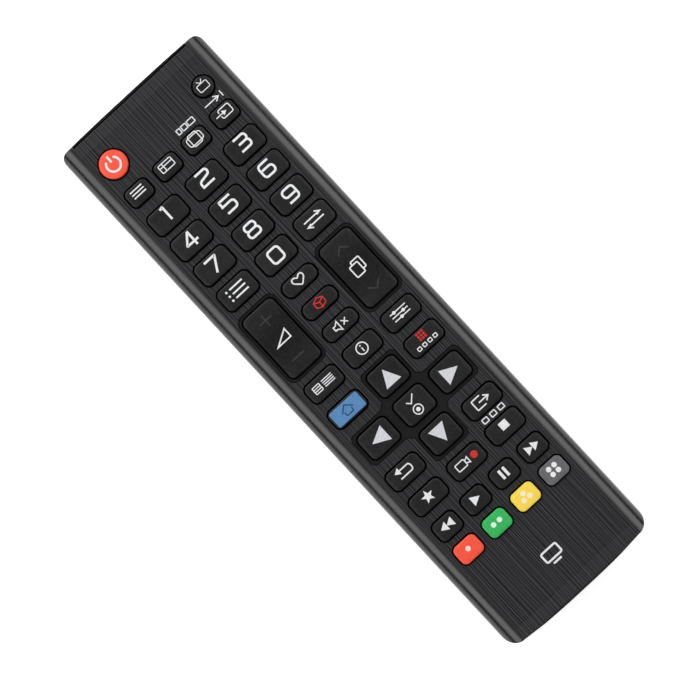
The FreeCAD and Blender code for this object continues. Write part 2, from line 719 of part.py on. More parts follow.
nub_start = "(battery_length - nub_length)"
battery_profile = [
    ("0", "0"), ("battery_diameter / 2", "0"), ("battery_diameter / 2", nub_start),
    ("nub_diameter / 2", nub_start),
    ("nub_diameter / 2", "battery_length"), ("0", "battery_length")]
batteries = []
for label, hand, start, turn in (
    ("battery_left", -1, "bay_tail + spring_room", 0),
    ("battery_right", 1, "bay_head - spring_room", 180),
):
    battery = doc.addObject("PartDesign::Body", label)
    revolve(battery, battery_profile)
    battery.Placement = FreeCAD.Placement(FreeCAD.Vector(), FreeCAD.Rotation(Z_AXIS, turn))
    move_to(battery, f"{hand} * battery_pitch / 2", start, "battery_middle")
    batteries.append(battery)

# Battery contacts: a bowed leaf at each cell's flat end and a dimpled plate at each nub

spring_contacts = doc.addObject("PartDesign::Body", "spring_contacts")
flat_contacts = doc.addObject("PartDesign::Body", "flat_contacts")
contact_low = "(battery_low + contact_margin)"
contact_high = "(battery_low + battery_diameter - contact_margin)"
for hand, spring_wall, flat_wall, inward in (
    (-1, "bay_tail", "bay_head", 1), (1, "bay_head", "bay_tail", -1),
):
    axis = f"{hand} * battery_pitch / 2"
    plate = new_sketch(spring_contacts, "YZ_Plane", "Plate", axis)
    draw_rectangle(plate, spring_wall, f"{spring_wall} + {inward} * contact_thickness",
                   contact_low, contact_high)
    extrude(spring_contacts, plate, "contact_width", symmetric=True)
    leaf = new_sketch(spring_contacts, "YZ_Plane", "Leaf", axis)
    reach = "(spring_room - leaf_gap)"
    draw_polygon(leaf, [
        (f"{spring_wall} + {inward} * contact_thickness", contact_low),
        (f"{spring_wall} + {inward} * {reach}", "battery_middle"),
        (f"{spring_wall} + {inward} * {reach} / 3", contact_high),
        (f"{spring_wall} + {inward} * ({reach} / 3 - contact_thickness)",
         f"{contact_high} - contact_thickness"),
        (f"{spring_wall} + {inward} * ({reach} - 2 * contact_thickness)", "battery_middle"),
        (f"{spring_wall} + {inward} * contact_thickness", f"{contact_low} + 2 * contact_thickness")])
    extrude(spring_contacts, leaf, "leaf_width", symmetric=True)
    plate = new_sketch(flat_contacts, "YZ_Plane", "Plate", axis)
    draw_rectangle(plate, flat_wall, f"{flat_wall} - {inward} * contact_thickness", contact_low, contact_high)
    extrude(flat_contacts, plate, "contact_width", symmetric=True)
    dimple = new_sketch(flat_contacts, "YZ_Plane", "Dimple", axis)
    draw_rectangle(dimple, f"{flat_wall} - {inward} * contact_thickness",
                   f"{flat_wall} - {inward} * (contact_thickness + dimple_height)",
                   "battery_middle - dimple_size / 2", "battery_middle + dimple_size / 2")
    extrude(flat_contacts, dimple, "dimple_size", symmetric=True)

# Case screw: a pan head seated in the boss, threading up into the front cover's post

case_screw = doc.addObject("PartDesign::Body", "case_screw")
revolve(case_screw, [
    ("0", "-screw_head_height"), ("screw_head_diameter / 2", "-screw_head_height"),
    ("screw_head_diameter / 2", "0"), ("screw_diameter / 2", "0"),
    ("screw_diameter / 2", "screw_length"), ("0", "screw_length")])
case_screw.Placement = FreeCAD.Placement(FreeCAD.Vector(), FreeCAD.Rotation(X_AXIS, 90))
move_to(case_screw, "0", "screw_row", "screw_seat")

# Circuit board on the bay's ceiling and the ribs, with its chip and small parts hanging under it

circuit_board = box("circuit_board", "-board_width / 2", "board_width / 2", "board_tail", "board_head",
                    "parting", "board_top")
chip_body = box("chip_body", "-chip_width / 2", "chip_width / 2", "chip_row - chip_length / 2",
                "chip_row + chip_length / 2", "parting - chip_height", "parting")
chip_leads = box("chip_leads", "-chip_width / 2 - chip_lead_reach", "chip_width / 2 + chip_lead_reach",
                 "chip_row - chip_length / 2 + lead_width", "chip_row + chip_length / 2 - lead_width",
                 "parting - chip_lead_height", "parting")
control_chip = combine("Part::Fuse", "control_chip", chip_body, chip_leads)

can = doc.addObject("Part::Cylinder", "can")
bind(can, "Radius", "can_diameter / 2")
bind(can, "Height", "can_length")
can.Placement = FreeCAD.Placement(FreeCAD.Vector(), FreeCAD.Rotation(Y_AXIS, 90))
move_to(can, "chip_width", "chip_row + chip_length + can_diameter", "parting - can_diameter / 2")
crystal = box("crystal", "-chip_width - crystal_length / 2", "-chip_width + crystal_length / 2",
              "chip_row + chip_length", "chip_row + chip_length + crystal_height",
              "parting - crystal_height", "parting")
small_parts = [can, crystal]
for index in range(3):
    place = f"(chip_row - chip_length - {index} * 2 * resistor_width)"
    small_parts.append(box(f"resistor_{index + 1}", "-resistor_length / 2", "resistor_length / 2", place,
                           f"{place} + resistor_width", "parting - resistor_height", "parting"))
board_parts = doc.addObject("Part::Compound", "board_parts")
board_parts.Links = small_parts

# Infrared emitter: a barrel with a tapered tip, on two bent leads that stand on the board

ir_led = doc.addObject("PartDesign::Body", "ir_led")
tip_taper = "(led_diameter - led_tip_diameter) / 2"
revolve(ir_led, [
    ("0", "0"), ("led_diameter / 2", "0"), ("led_diameter / 2", f"led_length - {tip_taper}"),
    ("led_tip_diameter / 2", "led_length"), ("0", "led_length")])
led_height = "(led_diameter / 2 + lip_gap)"
for hand in (-1, 1):
    lead = new_sketch(ir_led, "YZ_Plane", "Lead", f"{hand} * lead_pitch / 2")
    draw_polygon(lead, [
        ("0", "lead_width / 2"), ("-lead_reach", "lead_width / 2"), ("-lead_reach", f"-{led_height}"),
        ("-lead_reach + lead_width", f"-{led_height}"), ("-lead_reach + lead_width", "-lead_width / 2"),
        ("0", "-lead_width / 2")])
    extrude(ir_led, lead, "lead_width", symmetric=True)
move_to(ir_led, "0", "board_head + led_gap", f"board_top + {led_height}")

# Keypad mat: one sheet on the board, notched for the emitter, with a contact dome under each key

mat_sheet = doc.addObject("PartDesign::Body", "mat_sheet")
sheet_plan = new_sketch(mat_sheet, "XY_Plane", "Sheet", "board_top")
notch = "(board_head - mat_notch_length)"
draw_polygon(sheet_plan, [
    ("-board_width / 2", "board_tail"), ("board_width / 2", "board_tail"), ("board_width / 2", "board_head"),
    ("mat_notch_width / 2", "board_head"), ("mat_notch_width / 2", notch), ("-mat_notch_width / 2", notch),
    ("-mat_notch_width / 2", "board_head"), ("-board_width / 2", "board_head")])
extrude(mat_sheet, sheet_plan, "mat_thickness")
mat_pieces = [mat_sheet]
for name, family, across, along in KEYS:
    width, height = key_sizes(family)
    mat_pieces.append(box(
        f"dome_{name}", f"{across} - dome_share * {width} / 2", f"{across} + dome_share * {width} / 2",
        f"{along} - dome_share * {height} / 2", f"{along} + dome_share * {height} / 2",
        "mat_top", "mat_top + dome_height"))
keypad_mat = doc.addObject("Part::MultiFuse", "keypad_mat")
keypad_mat.Shapes = mat_pieces

# Keys: a chamfered cap on a flange that the cover's underside holds back; a rocker has pivot tabs instead

key_forms = {}
caps = {}
for family in FAMILIES:
    form = doc.addObject("PartDesign::Body", f"{family}_key")
    cap_low = "flange_low" if family == "rocker" else "flange_high"
    caps[family] = extrude(form, key_outline(form, "Cap", family, "0", cap_low), f"key_top - {cap_low}")
    key_forms[family] = form
doc.recompute()
for family, form in key_forms.items():
    rim = [f"Edge{index}" for index, edge in enumerate(caps[family].Shape.Edges, start=1)
           if edge.BoundBox.ZMin > value("key_top") - value("key_chamfer")]
    bevel_edges(form, caps[family], "key_chamfer", rim)
    width, height = key_sizes(family)
    reach = f"({width} / 2 + flange_reach)"
    tab = "(rocker_tab / 2)" if family == "rocker" else f"({height} / 2 + flange_reach)"
    flange = new_sketch(form, "XY_Plane", "Flange", "flange_low")
    draw_rectangle(flange, f"-{reach}", reach, f"-{tab}", tab)
    extrude(form, flange, "flange_thickness")
keys = [copy_at(name, key_forms[family], across, along) for name, family, across, along in KEYS]

NODES = [
    front_cover, rear_cover, battery_door, ir_window, keypad_mat, circuit_board, control_chip, board_parts,
    ir_led, spring_contacts, flat_contacts, case_screw] + batteries + keys

doc.recompute()
for item in doc.Objects:
    if "Invalid" in item.State or "Error" in item.State:
        raise RuntimeError(f"{item.Label} failed: {item.State}")
os.makedirs("parts", exist_ok=True)
for node in NODES:
    shape = Part.getShape(node)
    if shape.isNull() or not shape.isValid() or not shape.Solids:
        raise RuntimeError(f"{node.Label} has no valid solid")
    shape.exportStep(f"parts/{node.Label}.step")
    print(f"{node.Label}: {len(shape.Solids)} solid, {shape.Volume:.1f} mm3")
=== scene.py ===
import math

import bmesh
import bpy
from mathutils import Matrix, Vector


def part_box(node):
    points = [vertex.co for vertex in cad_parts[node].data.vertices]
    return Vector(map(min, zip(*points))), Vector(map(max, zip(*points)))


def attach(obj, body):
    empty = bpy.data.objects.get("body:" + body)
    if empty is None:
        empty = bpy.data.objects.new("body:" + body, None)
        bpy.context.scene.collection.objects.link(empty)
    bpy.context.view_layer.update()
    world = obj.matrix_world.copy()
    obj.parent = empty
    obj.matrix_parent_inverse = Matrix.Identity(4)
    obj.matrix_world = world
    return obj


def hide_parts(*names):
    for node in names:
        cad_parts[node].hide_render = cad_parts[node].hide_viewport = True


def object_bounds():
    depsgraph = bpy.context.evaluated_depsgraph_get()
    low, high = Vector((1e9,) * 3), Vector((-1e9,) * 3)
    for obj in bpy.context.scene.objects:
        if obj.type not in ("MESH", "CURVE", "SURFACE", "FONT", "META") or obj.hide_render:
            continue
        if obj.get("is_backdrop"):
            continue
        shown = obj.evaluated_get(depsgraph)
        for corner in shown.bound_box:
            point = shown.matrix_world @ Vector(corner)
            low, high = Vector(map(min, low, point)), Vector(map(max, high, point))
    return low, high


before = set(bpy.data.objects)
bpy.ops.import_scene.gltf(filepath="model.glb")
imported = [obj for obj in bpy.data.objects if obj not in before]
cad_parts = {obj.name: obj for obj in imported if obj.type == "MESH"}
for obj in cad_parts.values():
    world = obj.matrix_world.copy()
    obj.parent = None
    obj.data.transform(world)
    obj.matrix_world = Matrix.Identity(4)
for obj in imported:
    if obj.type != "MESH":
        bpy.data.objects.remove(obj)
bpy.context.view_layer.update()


# Rear cover: the lower shell, injection-moulded in black ABS with a fine sparked texture.
# It carries the battery bay, the grooves that the door slides in, and the lip that the front
# cover closes over.

def paint(red, green, blue):
    """A colour as it is seen, from 0 to 255, as the linear colour of a shader."""
    return tuple((part / 255) ** 2.2 for part in (red, green, blue)) + (1.0,)


def new_group(name, inputs, outputs):
    """An empty group of shader nodes with named number inputs, and named outputs that are all values."""
    tree = bpy.data.node_groups.new(name, "ShaderNodeTree")
    for socket_name, default in inputs.items():
        socket = tree.interface.new_socket(socket_name, in_out="INPUT", socket_type="NodeSocketFloat")
        socket.default_value = default
    for socket_name in outputs:
        tree.interface.new_socket(socket_name, in_out="OUTPUT", socket_type="NodeSocketFloat")
    return tree, tree.nodes.new("NodeGroupInput"), tree.nodes.new("NodeGroupOutput")


def add_noise(tree, detail, scale, vector=None):
    """A noise texture on the object's own coordinates, with its scale a number or a socket."""
    noise = tree.nodes.new("ShaderNodeTexNoise")
    noise.inputs["Detail"].default_value = detail
    if vector is None:
        vector = tree.nodes.new("ShaderNodeTexCoord").outputs["Object"]
    tree.links.new(vector, noise.inputs["Vector"])
    if isinstance(scale, bpy.types.NodeSocket):
        tree.links.new(scale, noise.inputs["Scale"])
    else:
        noise.inputs["Scale"].default_value = scale
    return noise.outputs["Fac"]


def add_range(tree, source, low, high, start=0.0, end=1.0):
    """Turns values between low and high into values between start and end, and holds them there."""
    spread = tree.nodes.new("ShaderNodeMapRange")
    for socket_name, number in (("From Min", low), ("From Max", high), ("To Min", start), ("To Max", end)):
        spread.inputs[socket_name].default_value = number
    tree.links.new(source, spread.inputs["Value"])
    return spread.outputs["Result"]


def add_maths(tree, operation, first, second=None, third=None):
    """One step of arithmetic on sockets or numbers."""
    step = tree.nodes.new("ShaderNodeMath")
    step.operation = operation
    for place, term in enumerate((first, second, third)):
        if isinstance(term, bpy.types.NodeSocket):
            tree.links.new(term, step.inputs[place])
        elif term is not None:
            step.inputs[place].default_value = term
    return step.outputs["Value"]


def add_mix(tree, mask, first, second):
    """Blends two colours, each a socket or four numbers, by a mask."""
    mix = tree.nodes.new("ShaderNodeMix")
    mix.data_type = "RGBA"
    tree.links.new(mask, mix.inputs["Factor"])
    for socket, shade in ((mix.inputs[6], first), (mix.inputs[7], second)):
        if isinstance(shade, bpy.types.NodeSocket):
            tree.links.new(shade, socket)
        else:
            socket.default_value = shade
    return mix.outputs[2]


# Two finishes that many pieces share: the sparked grain of a moulded surface, and faint smudges
grain_tree, grain_in, grain_out = new_group("moulded_grain", {"Scale": 5000.0}, ("Height", "Shade"))
coarseness = 0.18
fine = add_noise(grain_tree, 2.0, grain_in.outputs["Scale"])
coarse = add_noise(grain_tree, 1.0, add_maths(grain_tree, "MULTIPLY", grain_in.outputs["Scale"], coarseness))
grain_tree.links.new(add_maths(grain_tree, "MULTIPLY_ADD", coarse, 0.4, fine), grain_out.inputs["Height"])
grain_tree.links.new(add_range(grain_tree, coarse, 0.35, 0.65), grain_out.inputs["Shade"])

smudge_tree, smudge_in, smudge_out = new_group("handling", {"Clean": 0.4, "Smudged": 0.5}, ("Roughness",))
patches_to_a_metre = 45.0
spread = add_range(smudge_tree, add_noise(smudge_tree, 3.0, patches_to_a_metre), 0.38, 0.66)
reach = add_maths(smudge_tree, "SUBTRACT", smudge_in.outputs["Smudged"], smudge_in.outputs["Clean"])
rough = add_maths(smudge_tree, "MULTIPLY_ADD", spread, reach, smudge_in.outputs["Clean"])
smudge_tree.links.new(rough, smudge_out.inputs["Roughness"])


def add_group(tree, group, **values):
    """Places a shared finish in a material with its own values."""
    node = tree.nodes.new("ShaderNodeGroup")
    node.node_tree = group
    for socket_name, number in values.items():
        node.inputs[socket_name].default_value = number
    return node.outputs


def add_bump(tree, height, distance):
    """Raises a surface's relief by a distance in metres and feeds it to the shader."""
    bump = tree.nodes.new("ShaderNodeBump")
    bump.inputs["Strength"].default_value = 1.0
    bump.inputs["Distance"].default_value = distance
    tree.links.new(height, bump.inputs["Height"])
    tree.links.new(bump.outputs["Normal"], tree.nodes["Principled BSDF"].inputs["Normal"])


def new_material(name):
    """A plain material, with its tree of nodes and its shader."""
    material = bpy.data.materials.new(name)
    material.use_nodes = True
    return material, material.node_tree, material.node_tree.nodes["Principled BSDF"]


def moulded(name, dark, light, clean, smudged, scale, relief, specular=0.5, metallic=0.0):
    """A moulded, drawn or printed surface: two close colours, a grain and faint smudges.

    Clean and smudged are how rough it is, scale is how fine its grain is, and relief is the
    grain's height in metres.
    """
    material, tree, shader = new_material(name)
    shader.inputs["Specular IOR Level"].default_value = specular
    shader.inputs["Metallic"].default_value = metallic
    grain = add_group(tree, grain_tree, Scale=scale)
    handling = add_group(tree, smudge_tree, Clean=clean, Smudged=smudged)
    tree.links.new(add_mix(tree, grain["Shade"], paint(*dark), paint(*light)), shader.inputs["Base Color"])
    tree.links.new(handling["Roughness"], shader.inputs["Roughness"])
    add_bump(tree, grain["Height"], relief)
    return material


def add_object(name, data):
    """Puts an object in the scene."""
    item = bpy.data.objects.new(name, data)
    bpy.context.scene.collection.objects.link(item)
    return item


def finished(name, mesh, material, body, node=None):
    """Puts a piece in the scene, with its material, the body it moves with and its node."""
    piece = add_object(name, mesh)
    mesh.materials.append(material)
    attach(piece, body)
    if node:
        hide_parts(node)
    return piece


def softened(piece, width=None):
    """Rounds a piece's sharp edges by a width, or keeps them sharp, and shades it smooth between them."""
    piece.data.polygons.foreach_set("use_smooth", [True] * len(piece.data.polygons))
    if width is None:
        piece.data.set_sharp_from_angle(angle=math.radians(30.0))
    else:
        bevel = piece.modifiers.new("Soft edges", "BEVEL")
        bevel.width = width
        bevel.segments = 2
        bevel.limit_method = "ANGLE"
        bevel.angle_limit = math.radians(40.0)
        bevel.miter_outer = "MITER_ARC"
    weighted = piece.modifiers.new("Flat faces stay flat", "WEIGHTED_NORMAL")
    weighted.keep_sharp = True
    return piece


def shape_of(mesh):
    """A mesh to work on."""
    shape = bmesh.new()
    shape.from_mesh(mesh)
    return shape


def mesh_of(name, *shapes):
    """Joins meshes in the making into one finished mesh."""
    mesh = bpy.data.meshes.new(name)
    whole = bmesh.new()
    for shape in shapes:
        shape.to_mesh(mesh)
        whole.from_mesh(mesh)
        shape.free()
    whole.to_mesh(mesh)
    whole.free()
    return mesh


def joined_copy(node):
    """A copy of a node's shape to work on, its loose triangles joined."""
    shape = shape_of(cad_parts[node].data)
    bmesh.ops.remove_doubles(shape, verts=shape.verts, dist=0.000002)
    return shape


def moulding_of(node, name, material, body, width):
    """A clean copy of a node's shape, with its edges softened by a width, as a mould leaves them."""
    shape = joined_copy(node)
    bmesh.ops.dissolve_limit(shape, angle_limit=math.radians(0.5), verts=shape.verts, edges=shape.edges)
    return softened(finished(name, mesh_of(name, shape), material, body, node), width)


black_abs = moulded("black_abs", (24, 24, 25), (31, 31, 32), 0.42, 0.52, 5200.0, 0.000014)
moulding_of("rear_cover", "rear_shell", black_abs, "case", 0.00012)


# Battery contacts: two bowed leaves and two dimpled plates of nickel-plated spring steel.
# One of each stands at either end of the bay and presses on the cells.

nickel = moulded("nickel", (168, 167, 162), (186, 185, 180), 0.24, 0.36, 1800.0, 0.000003, metallic=1.0)
moulding_of("spring_contacts", "leaf_contacts", nickel, "case", 0.00005)
moulding_of("flat_contacts", "plate_contacts", nickel, "case", 0.00005)


# Circuit board: a green lacquered board on the ribs of the rear cover, with its chip and small
# parts hanging under it. The infrared emitter stands at its head end, behind the window.

lacquer = moulded("solder_lacquer", (26, 84, 50), (33, 96, 58), 0.24, 0.34, 1500.0, 0.000003)
moulding_of("circuit_board", "board_plate", lacquer, "case", 0.00004)
epoxy = moulded("chip_epoxy", (25, 25, 26), (31, 31, 32), 0.5, 0.6, 7000.0, 0.000006)
moulding_of("control_chip", "encoder_chip", epoxy, "case", 0.00006)
casing = moulded("part_casing", (120, 122, 126), (134, 136, 140), 0.3, 0.42, 4000.0, 0.000003, metallic=0.7)
moulding_of("board_parts", "small_parts", casing, "case", 0.00005)
lens_epoxy = moulded("emitter_epoxy", (76, 70, 96), (84, 78, 106), 0.08, 0.16, 3000.0, 0.000001)
moulding_of("ir_led", "emitter", lens_epoxy, "case", 0.00005)


# Keypad mat: one sheet of dark silicone over the board, with a contact dome under each key.
# A dome gives way under its key and lifts it again.

silicone = moulded("silicone_rubber", (58, 58, 60), (66, 66, 68), 0.62, 0.74, 4200.0, 0.000008, specular=0.3)
moulding_of("keypad_mat", "dome_mat", silicone, "case", 0.0001)


# Push keys: moulded caps with a soft-touch coat, each with a rounded rim, a top that swells by a
# tenth of a millimetre, and a flange below that the cover's underside holds back.

flange_reach, flange_thickness, flange_corner = 0.0006, 0.0009, 0.0003
key_rim, key_swell = 0.0004, 0.0001
# Near black: the colour of painted shade, where sides lie deep in a narrow opening
painted_shade_black = paint(5, 5, 5)


def place_in(tree):
    """Where a point of the surface lies, as X, Y and Z in metres."""
    place = tree.nodes.new("ShaderNodeSeparateXYZ")
    tree.links.new(tree.nodes.new("ShaderNodeTexCoord").outputs["Object"], place.inputs["Vector"])
    return place.outputs


def painted_shade_below(material, low, high, shine):
    """Paints shade into a material below a height: it fades to near black and loses gloss from one height
    down to another, as a key's sides would lie in shade in their narrow opening.
    """
    tree = material.node_tree
    shader = tree.nodes["Principled BSDF"]
    lit = add_range(tree, place_in(tree)["Z"], low, high)
    colour = shader.inputs["Base Color"].links[0].from_socket
    tree.links.new(add_mix(tree, lit, painted_shade_black, colour), shader.inputs["Base Color"])
    tree.links.new(add_maths(tree, "MULTIPLY", lit, shine), shader.inputs["Specular IOR Level"])
    return material


def block(centre, size):
    """A block, as a mesh in the making."""
    shape = bmesh.new()
    bmesh.ops.create_cube(shape, size=1.0)
    bmesh.ops.scale(shape, vec=size, verts=shape.verts)
    bmesh.ops.translate(shape, vec=centre, verts=shape.verts)
    return shape


def run_of(edge, axis):
    """How far an edge runs along an axis."""
    return abs(getattr(edge.verts[0].co, axis) - getattr(edge.verts[1].co, axis))


def round_edges(shape, edges, radius, steps):
    """Rounds some edges of a mesh in the making by a radius. One step is a chamfer."""
    bmesh.ops.bevel(shape, geom=edges, offset=radius, offset_type="OFFSET", segments=steps, profile=0.5,
                    affect="EDGES", material=-1)


def rounded_block(middle, width, height, corner, low, high, steps=8):
    """An upright block with rounded corners, as a mesh in the making."""
    shape = block((middle.x, middle.y, (low + high) / 2), (width, height, high - low))
    round_edges(shape, [edge for edge in shape.edges if run_of(edge, "z") > (high - low) / 2], corner, steps)
    return shape


def round_block(middle, radius, low, high):
    """An upright cylinder, as a mesh in the making."""
    shape = bmesh.new()
    bmesh.ops.create_cone(shape, cap_ends=True, segments=48, radius1=radius, radius2=radius, depth=high - low)
    bmesh.ops.translate(shape, vec=(middle.x, middle.y, (low + high) / 2), verts=shape.verts)
    return shape


def soften_top(shape, high, rim, swell, step=0.0005):
    """Rounds the top rim of a block and lets its top swell in two steps up to its full height."""
    at_top = high - 0.000001
    shape.normal_update()
    round_edges(shape, [edge for edge in shape.edges if min(end.co.z for end in edge.verts) > at_top], rim, 4)
    shape.normal_update()
    top = [face for face in shape.faces if face.normal.z > 0.99 and face.calc_center_median().z > at_top]
    for share in (0.65, 0.35):
        bmesh.ops.inset_region(shape, faces=top, thickness=step, depth=swell * share, use_even_offset=True)


def push_key(node, corner, material, rim=key_rim):
    """The moulded cap and flange of one push key, in the place and size of its node."""
    low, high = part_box(node)
    middle = (low + high) / 2
    stem, shoulder = low.z + flange_thickness, high.z - key_swell
    if corner is None:
        cap = round_block(middle, (high.y - low.y) / 2 - flange_reach, stem, shoulder)
    else:
        cap = rounded_block(middle, high.x - low.x - 2 * flange_reach, high.y - low.y - 2 * flange_reach,
                            corner, stem, shoulder)
    soften_top(cap, shoulder, rim, key_swell)
    flange = rounded_block(middle, high.x - low.x, high.y - low.y, flange_corner, low.z, stem, 2)
    cap_name = node.replace("key_", "cap_")
    return softened(finished(cap_name, mesh_of(cap_name, cap, flange), material, node, node))


# The radius of a cap's corners, or None for a round cap, and the keys that have it
KEY_CORNERS = (
    (0.0015, ("key_menu", "key_guide", "key_ratio", "key_input")),
    (0.0017, ("key_1", "key_2", "key_3", "key_4", "key_5", "key_6", "key_7", "key_8", "key_9")),
    (0.0017, ("key_list", "key_0", "key_recall", "key_text", "key_info", "key_options", "key_home")),
    (0.0017, ("key_apps", "key_back", "key_exit", "key_app_star", "key_record", "key_stop")),
    (0.0017, ("key_rewind", "key_play", "key_pause", "key_forward")),
    (0.0020, ("key_fav", "key_3d", "key_mute")),
    (0.0016, ("key_up", "key_left", "key_ok", "key_right", "key_down")),
    (None, ("key_radio",)),
)
# Black keys get painted shade on their sides, fading to near black from a height of 20.9 mm down to 20.4 mm
black_key = painted_shade_below(moulded("black_key", (34, 34, 35), (41, 41, 42), 0.32, 0.40, 6500.0, 0.00001),
                       low=0.0204, high=0.0209, shine=0.3)
for corner, nodes in KEY_CORNERS:
    for node in nodes:
        push_key(node, corner, black_key)

# Coloured keys: the same caps in dyed plastic, a little glossier than the black ones, with painted shade on
# their sides from a height of 20.6 mm down to 19.9 mm
for node, dark, light in (
    ("key_red", (247, 84, 62), (253, 91, 69)),
    ("key_green", (52, 177, 88), (60, 185, 96)),
    ("key_yellow", (252, 216, 78), (255, 222, 88)),
    ("key_grey", (97, 97, 100), (105, 105, 108)),
):
    shade = painted_shade_below(moulded(f"{node[4:]}_plastic", dark, light, 0.36, 0.46, 6500.0, 0.000008),
                       low=0.0199, high=0.0206, shine=0.4)
    push_key(node, 0.0017, shade)
    if node == "key_red":
        push_key("key_power", None, shade, rim=0.0006)

# Home key: a blue panel let into the black cap, which shows as a rim all round
blue_plastic = moulded("blue_plastic", (82, 130, 180), (90, 138, 188), 0.38, 0.48, 6500.0, 0.000008)
low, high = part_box("key_home")
panel_width, panel_height, panel_corner, panel_depth = 0.0104, 0.0051, 0.0006, 0.0004
panel_top = high.z + 0.00002
panel = rounded_block((low + high) / 2, panel_width, panel_height, panel_corner, high.z - panel_depth,
                      panel_top, 4)
soften_top(panel, panel_top, rim=0.00012, swell=0.00003, step=0.0002)
softened(finished("home_panel", mesh_of("home_panel", panel), blue_plastic, "key_home"))


# Rocker keys: one long moulded cap each, dished between its two ends, where it is pressed.
# A cap tips on the flat tabs that stick out at its middle, one to each side.

ROCKERS = ("key_volume", "key_page")
tab_length = 0.004
dish_reach, dish_dip, dish_depth = 0.0100, 0.00022, 0.0006
cut_pitch = 0.0012


def rocker_key(node):
    """A long cap whose top sinks towards its middle, with the tabs that it rocks on."""
    low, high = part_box(node)
    middle = (low + high) / 2
    shoulder = high.z - key_swell
    cap = rounded_block(middle, high.x - low.x - 2 * flange_reach, high.y - low.y, 0.0017, low.z, shoulder)
    soften_top(cap, shoulder, key_rim, key_swell)
    for cut in range(-8, 9):
        bmesh.ops.bisect_plane(cap, geom=cap.verts[:] + cap.edges[:] + cap.faces[:],
                               plane_co=(0.0, middle.y + cut * cut_pitch, 0.0), plane_no=(0.0, 1.0, 0.0))
    for corner in cap.verts:
        if corner.co.z > high.z - dish_depth:
            share = min(abs(corner.co.y - middle.y) / dish_reach, 1.0)
            corner.co.z -= dish_dip * (1.0 - share * share)
    tabs = rounded_block(middle, high.x - low.x, tab_length, flange_corner, low.z,
                         low.z + flange_thickness, 2)
    cap_name = node.replace("key_", "cap_")
    return softened(finished(cap_name, mesh_of(cap_name, cap, tabs), black_key, node, node))


for node in ROCKERS:
    rocker_key(node)


# Front cover: the upper shell, moulded in black ABS. Its face has a hairline pattern that runs along
# the remote, and its rolled shoulders and the recesses round the rockers and arrow keys are satin.
# The case screw holds it to the rear cover at the tail.

body_length, body_width, body_height = 0.1942, 0.054, 0.020
parting, wall = 0.0136, 0.0018
shoulder_radius, end_edge_radius = 0.0045, 0.001
head_corner, head_bow, tail_corner, tail_bow = 0.0025, 0.0005, 0.0040, 0.0015
overrun, cut_past = 0.01, 0.001


def section_form(inset):
    """The cover's cross-section along its whole length, with its rolled shoulders."""
    shape = block((0.0, 0.0, body_height / 2),
                  (body_width - 2 * inset, body_length + overrun, body_height - 2 * inset))
    shoulders = [edge for edge in shape.edges
                 if run_of(edge, "y") > body_length / 2 and edge.verts[0].co.z > body_height / 2]
    round_edges(shape, shoulders, shoulder_radius - inset, 16)
    return mesh_of("section", shape)


def corners_in(made):
    """The corners among what an extrusion made."""
    return [item for item in made["geom"] if isinstance(item, bmesh.types.BMVert)]


def plan_form(inset, low, high):
    """The cover's outline from above: bowed ends and rounded corners."""
    half, end = body_width / 2 - inset, body_length / 2 - inset
    outline = []
    for quarter, (side, way, corner, bow) in enumerate((
            (1, 1, head_corner, head_bow), (-1, 1, head_corner, head_bow),
            (-1, -1, tail_corner, tail_bow), (1, -1, tail_corner, tail_bow))):
        radius = max(corner - inset, 0.0003)
        turns = [math.radians(90 * quarter + 11.25 * step) for step in range(9)]
        bend = [(side * (half - radius) + radius * math.cos(turn),
                 way * (end - radius) + radius * math.sin(turn)) for turn in turns]
        straight = [(side * (half - radius) * (1 - step / 6), way * end) for step in range(1, 6)]
        stretch = bend + straight + [(0.0, way * end)] if side == way else straight[::-1] + bend
        outline += [(x, y - way * bow * (x / (body_width / 2)) ** 2) for x, y in stretch]
    shape = bmesh.new()
    floor = shape.faces.new([shape.verts.new((x, y, low)) for x, y in outline])
    raised = bmesh.ops.extrude_face_region(shape, geom=[floor])
    bmesh.ops.translate(shape, vec=(0.0, 0.0, high - low), verts=corners_in(raised))
    bmesh.ops.recalc_face_normals(shape, faces=shape.faces)
    return mesh_of("plan", shape)


def side_form():
    """The cover's side view above the parting line, with a small radius at the top of each end."""
    shape = block((0.0, 0.0, (body_height + parting) / 2),
                  (body_width + overrun, body_length, body_height - parting))
    ends = [edge for edge in shape.edges
            if run_of(edge, "x") > body_width / 2 and edge.verts[0].co.z > (body_height + parting) / 2]
    round_edges(shape, ends, end_edge_radius, 6)
    return mesh_of("side", shape)


def carved(mesh, *steps):
    """A mesh after boolean steps, each a word and the mesh that it works with."""
    work = add_object("work", mesh)
    tools = []
    for operation, tool_mesh in steps:
        tools.append(add_object("tool", tool_mesh))
        boolean = work.modifiers.new("Carve", "BOOLEAN")
        boolean.operation = operation
        boolean.solver = "EXACT"
        boolean.object = tools[-1]
    bpy.context.view_layer.update()
    result = bpy.data.meshes.new_from_object(work.evaluated_get(bpy.context.evaluated_depsgraph_get()))
    for item in (work, *tools):
        bpy.data.objects.remove(item)
    return result


recess_depth = 0.00045
recess = (body_height - recess_depth, body_height + wall)
rocker_rim, rocker_recess_corner = 0.0012, 0.0026
rocker_recesses = []
for node in ROCKERS:
    low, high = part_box(node)
    rocker_recesses.append(rounded_block((low + high) / 2, high.x - low.x + 2 * flange_reach,
                                         high.y - low.y + 2 * rocker_rim, rocker_recess_corner, *recess))

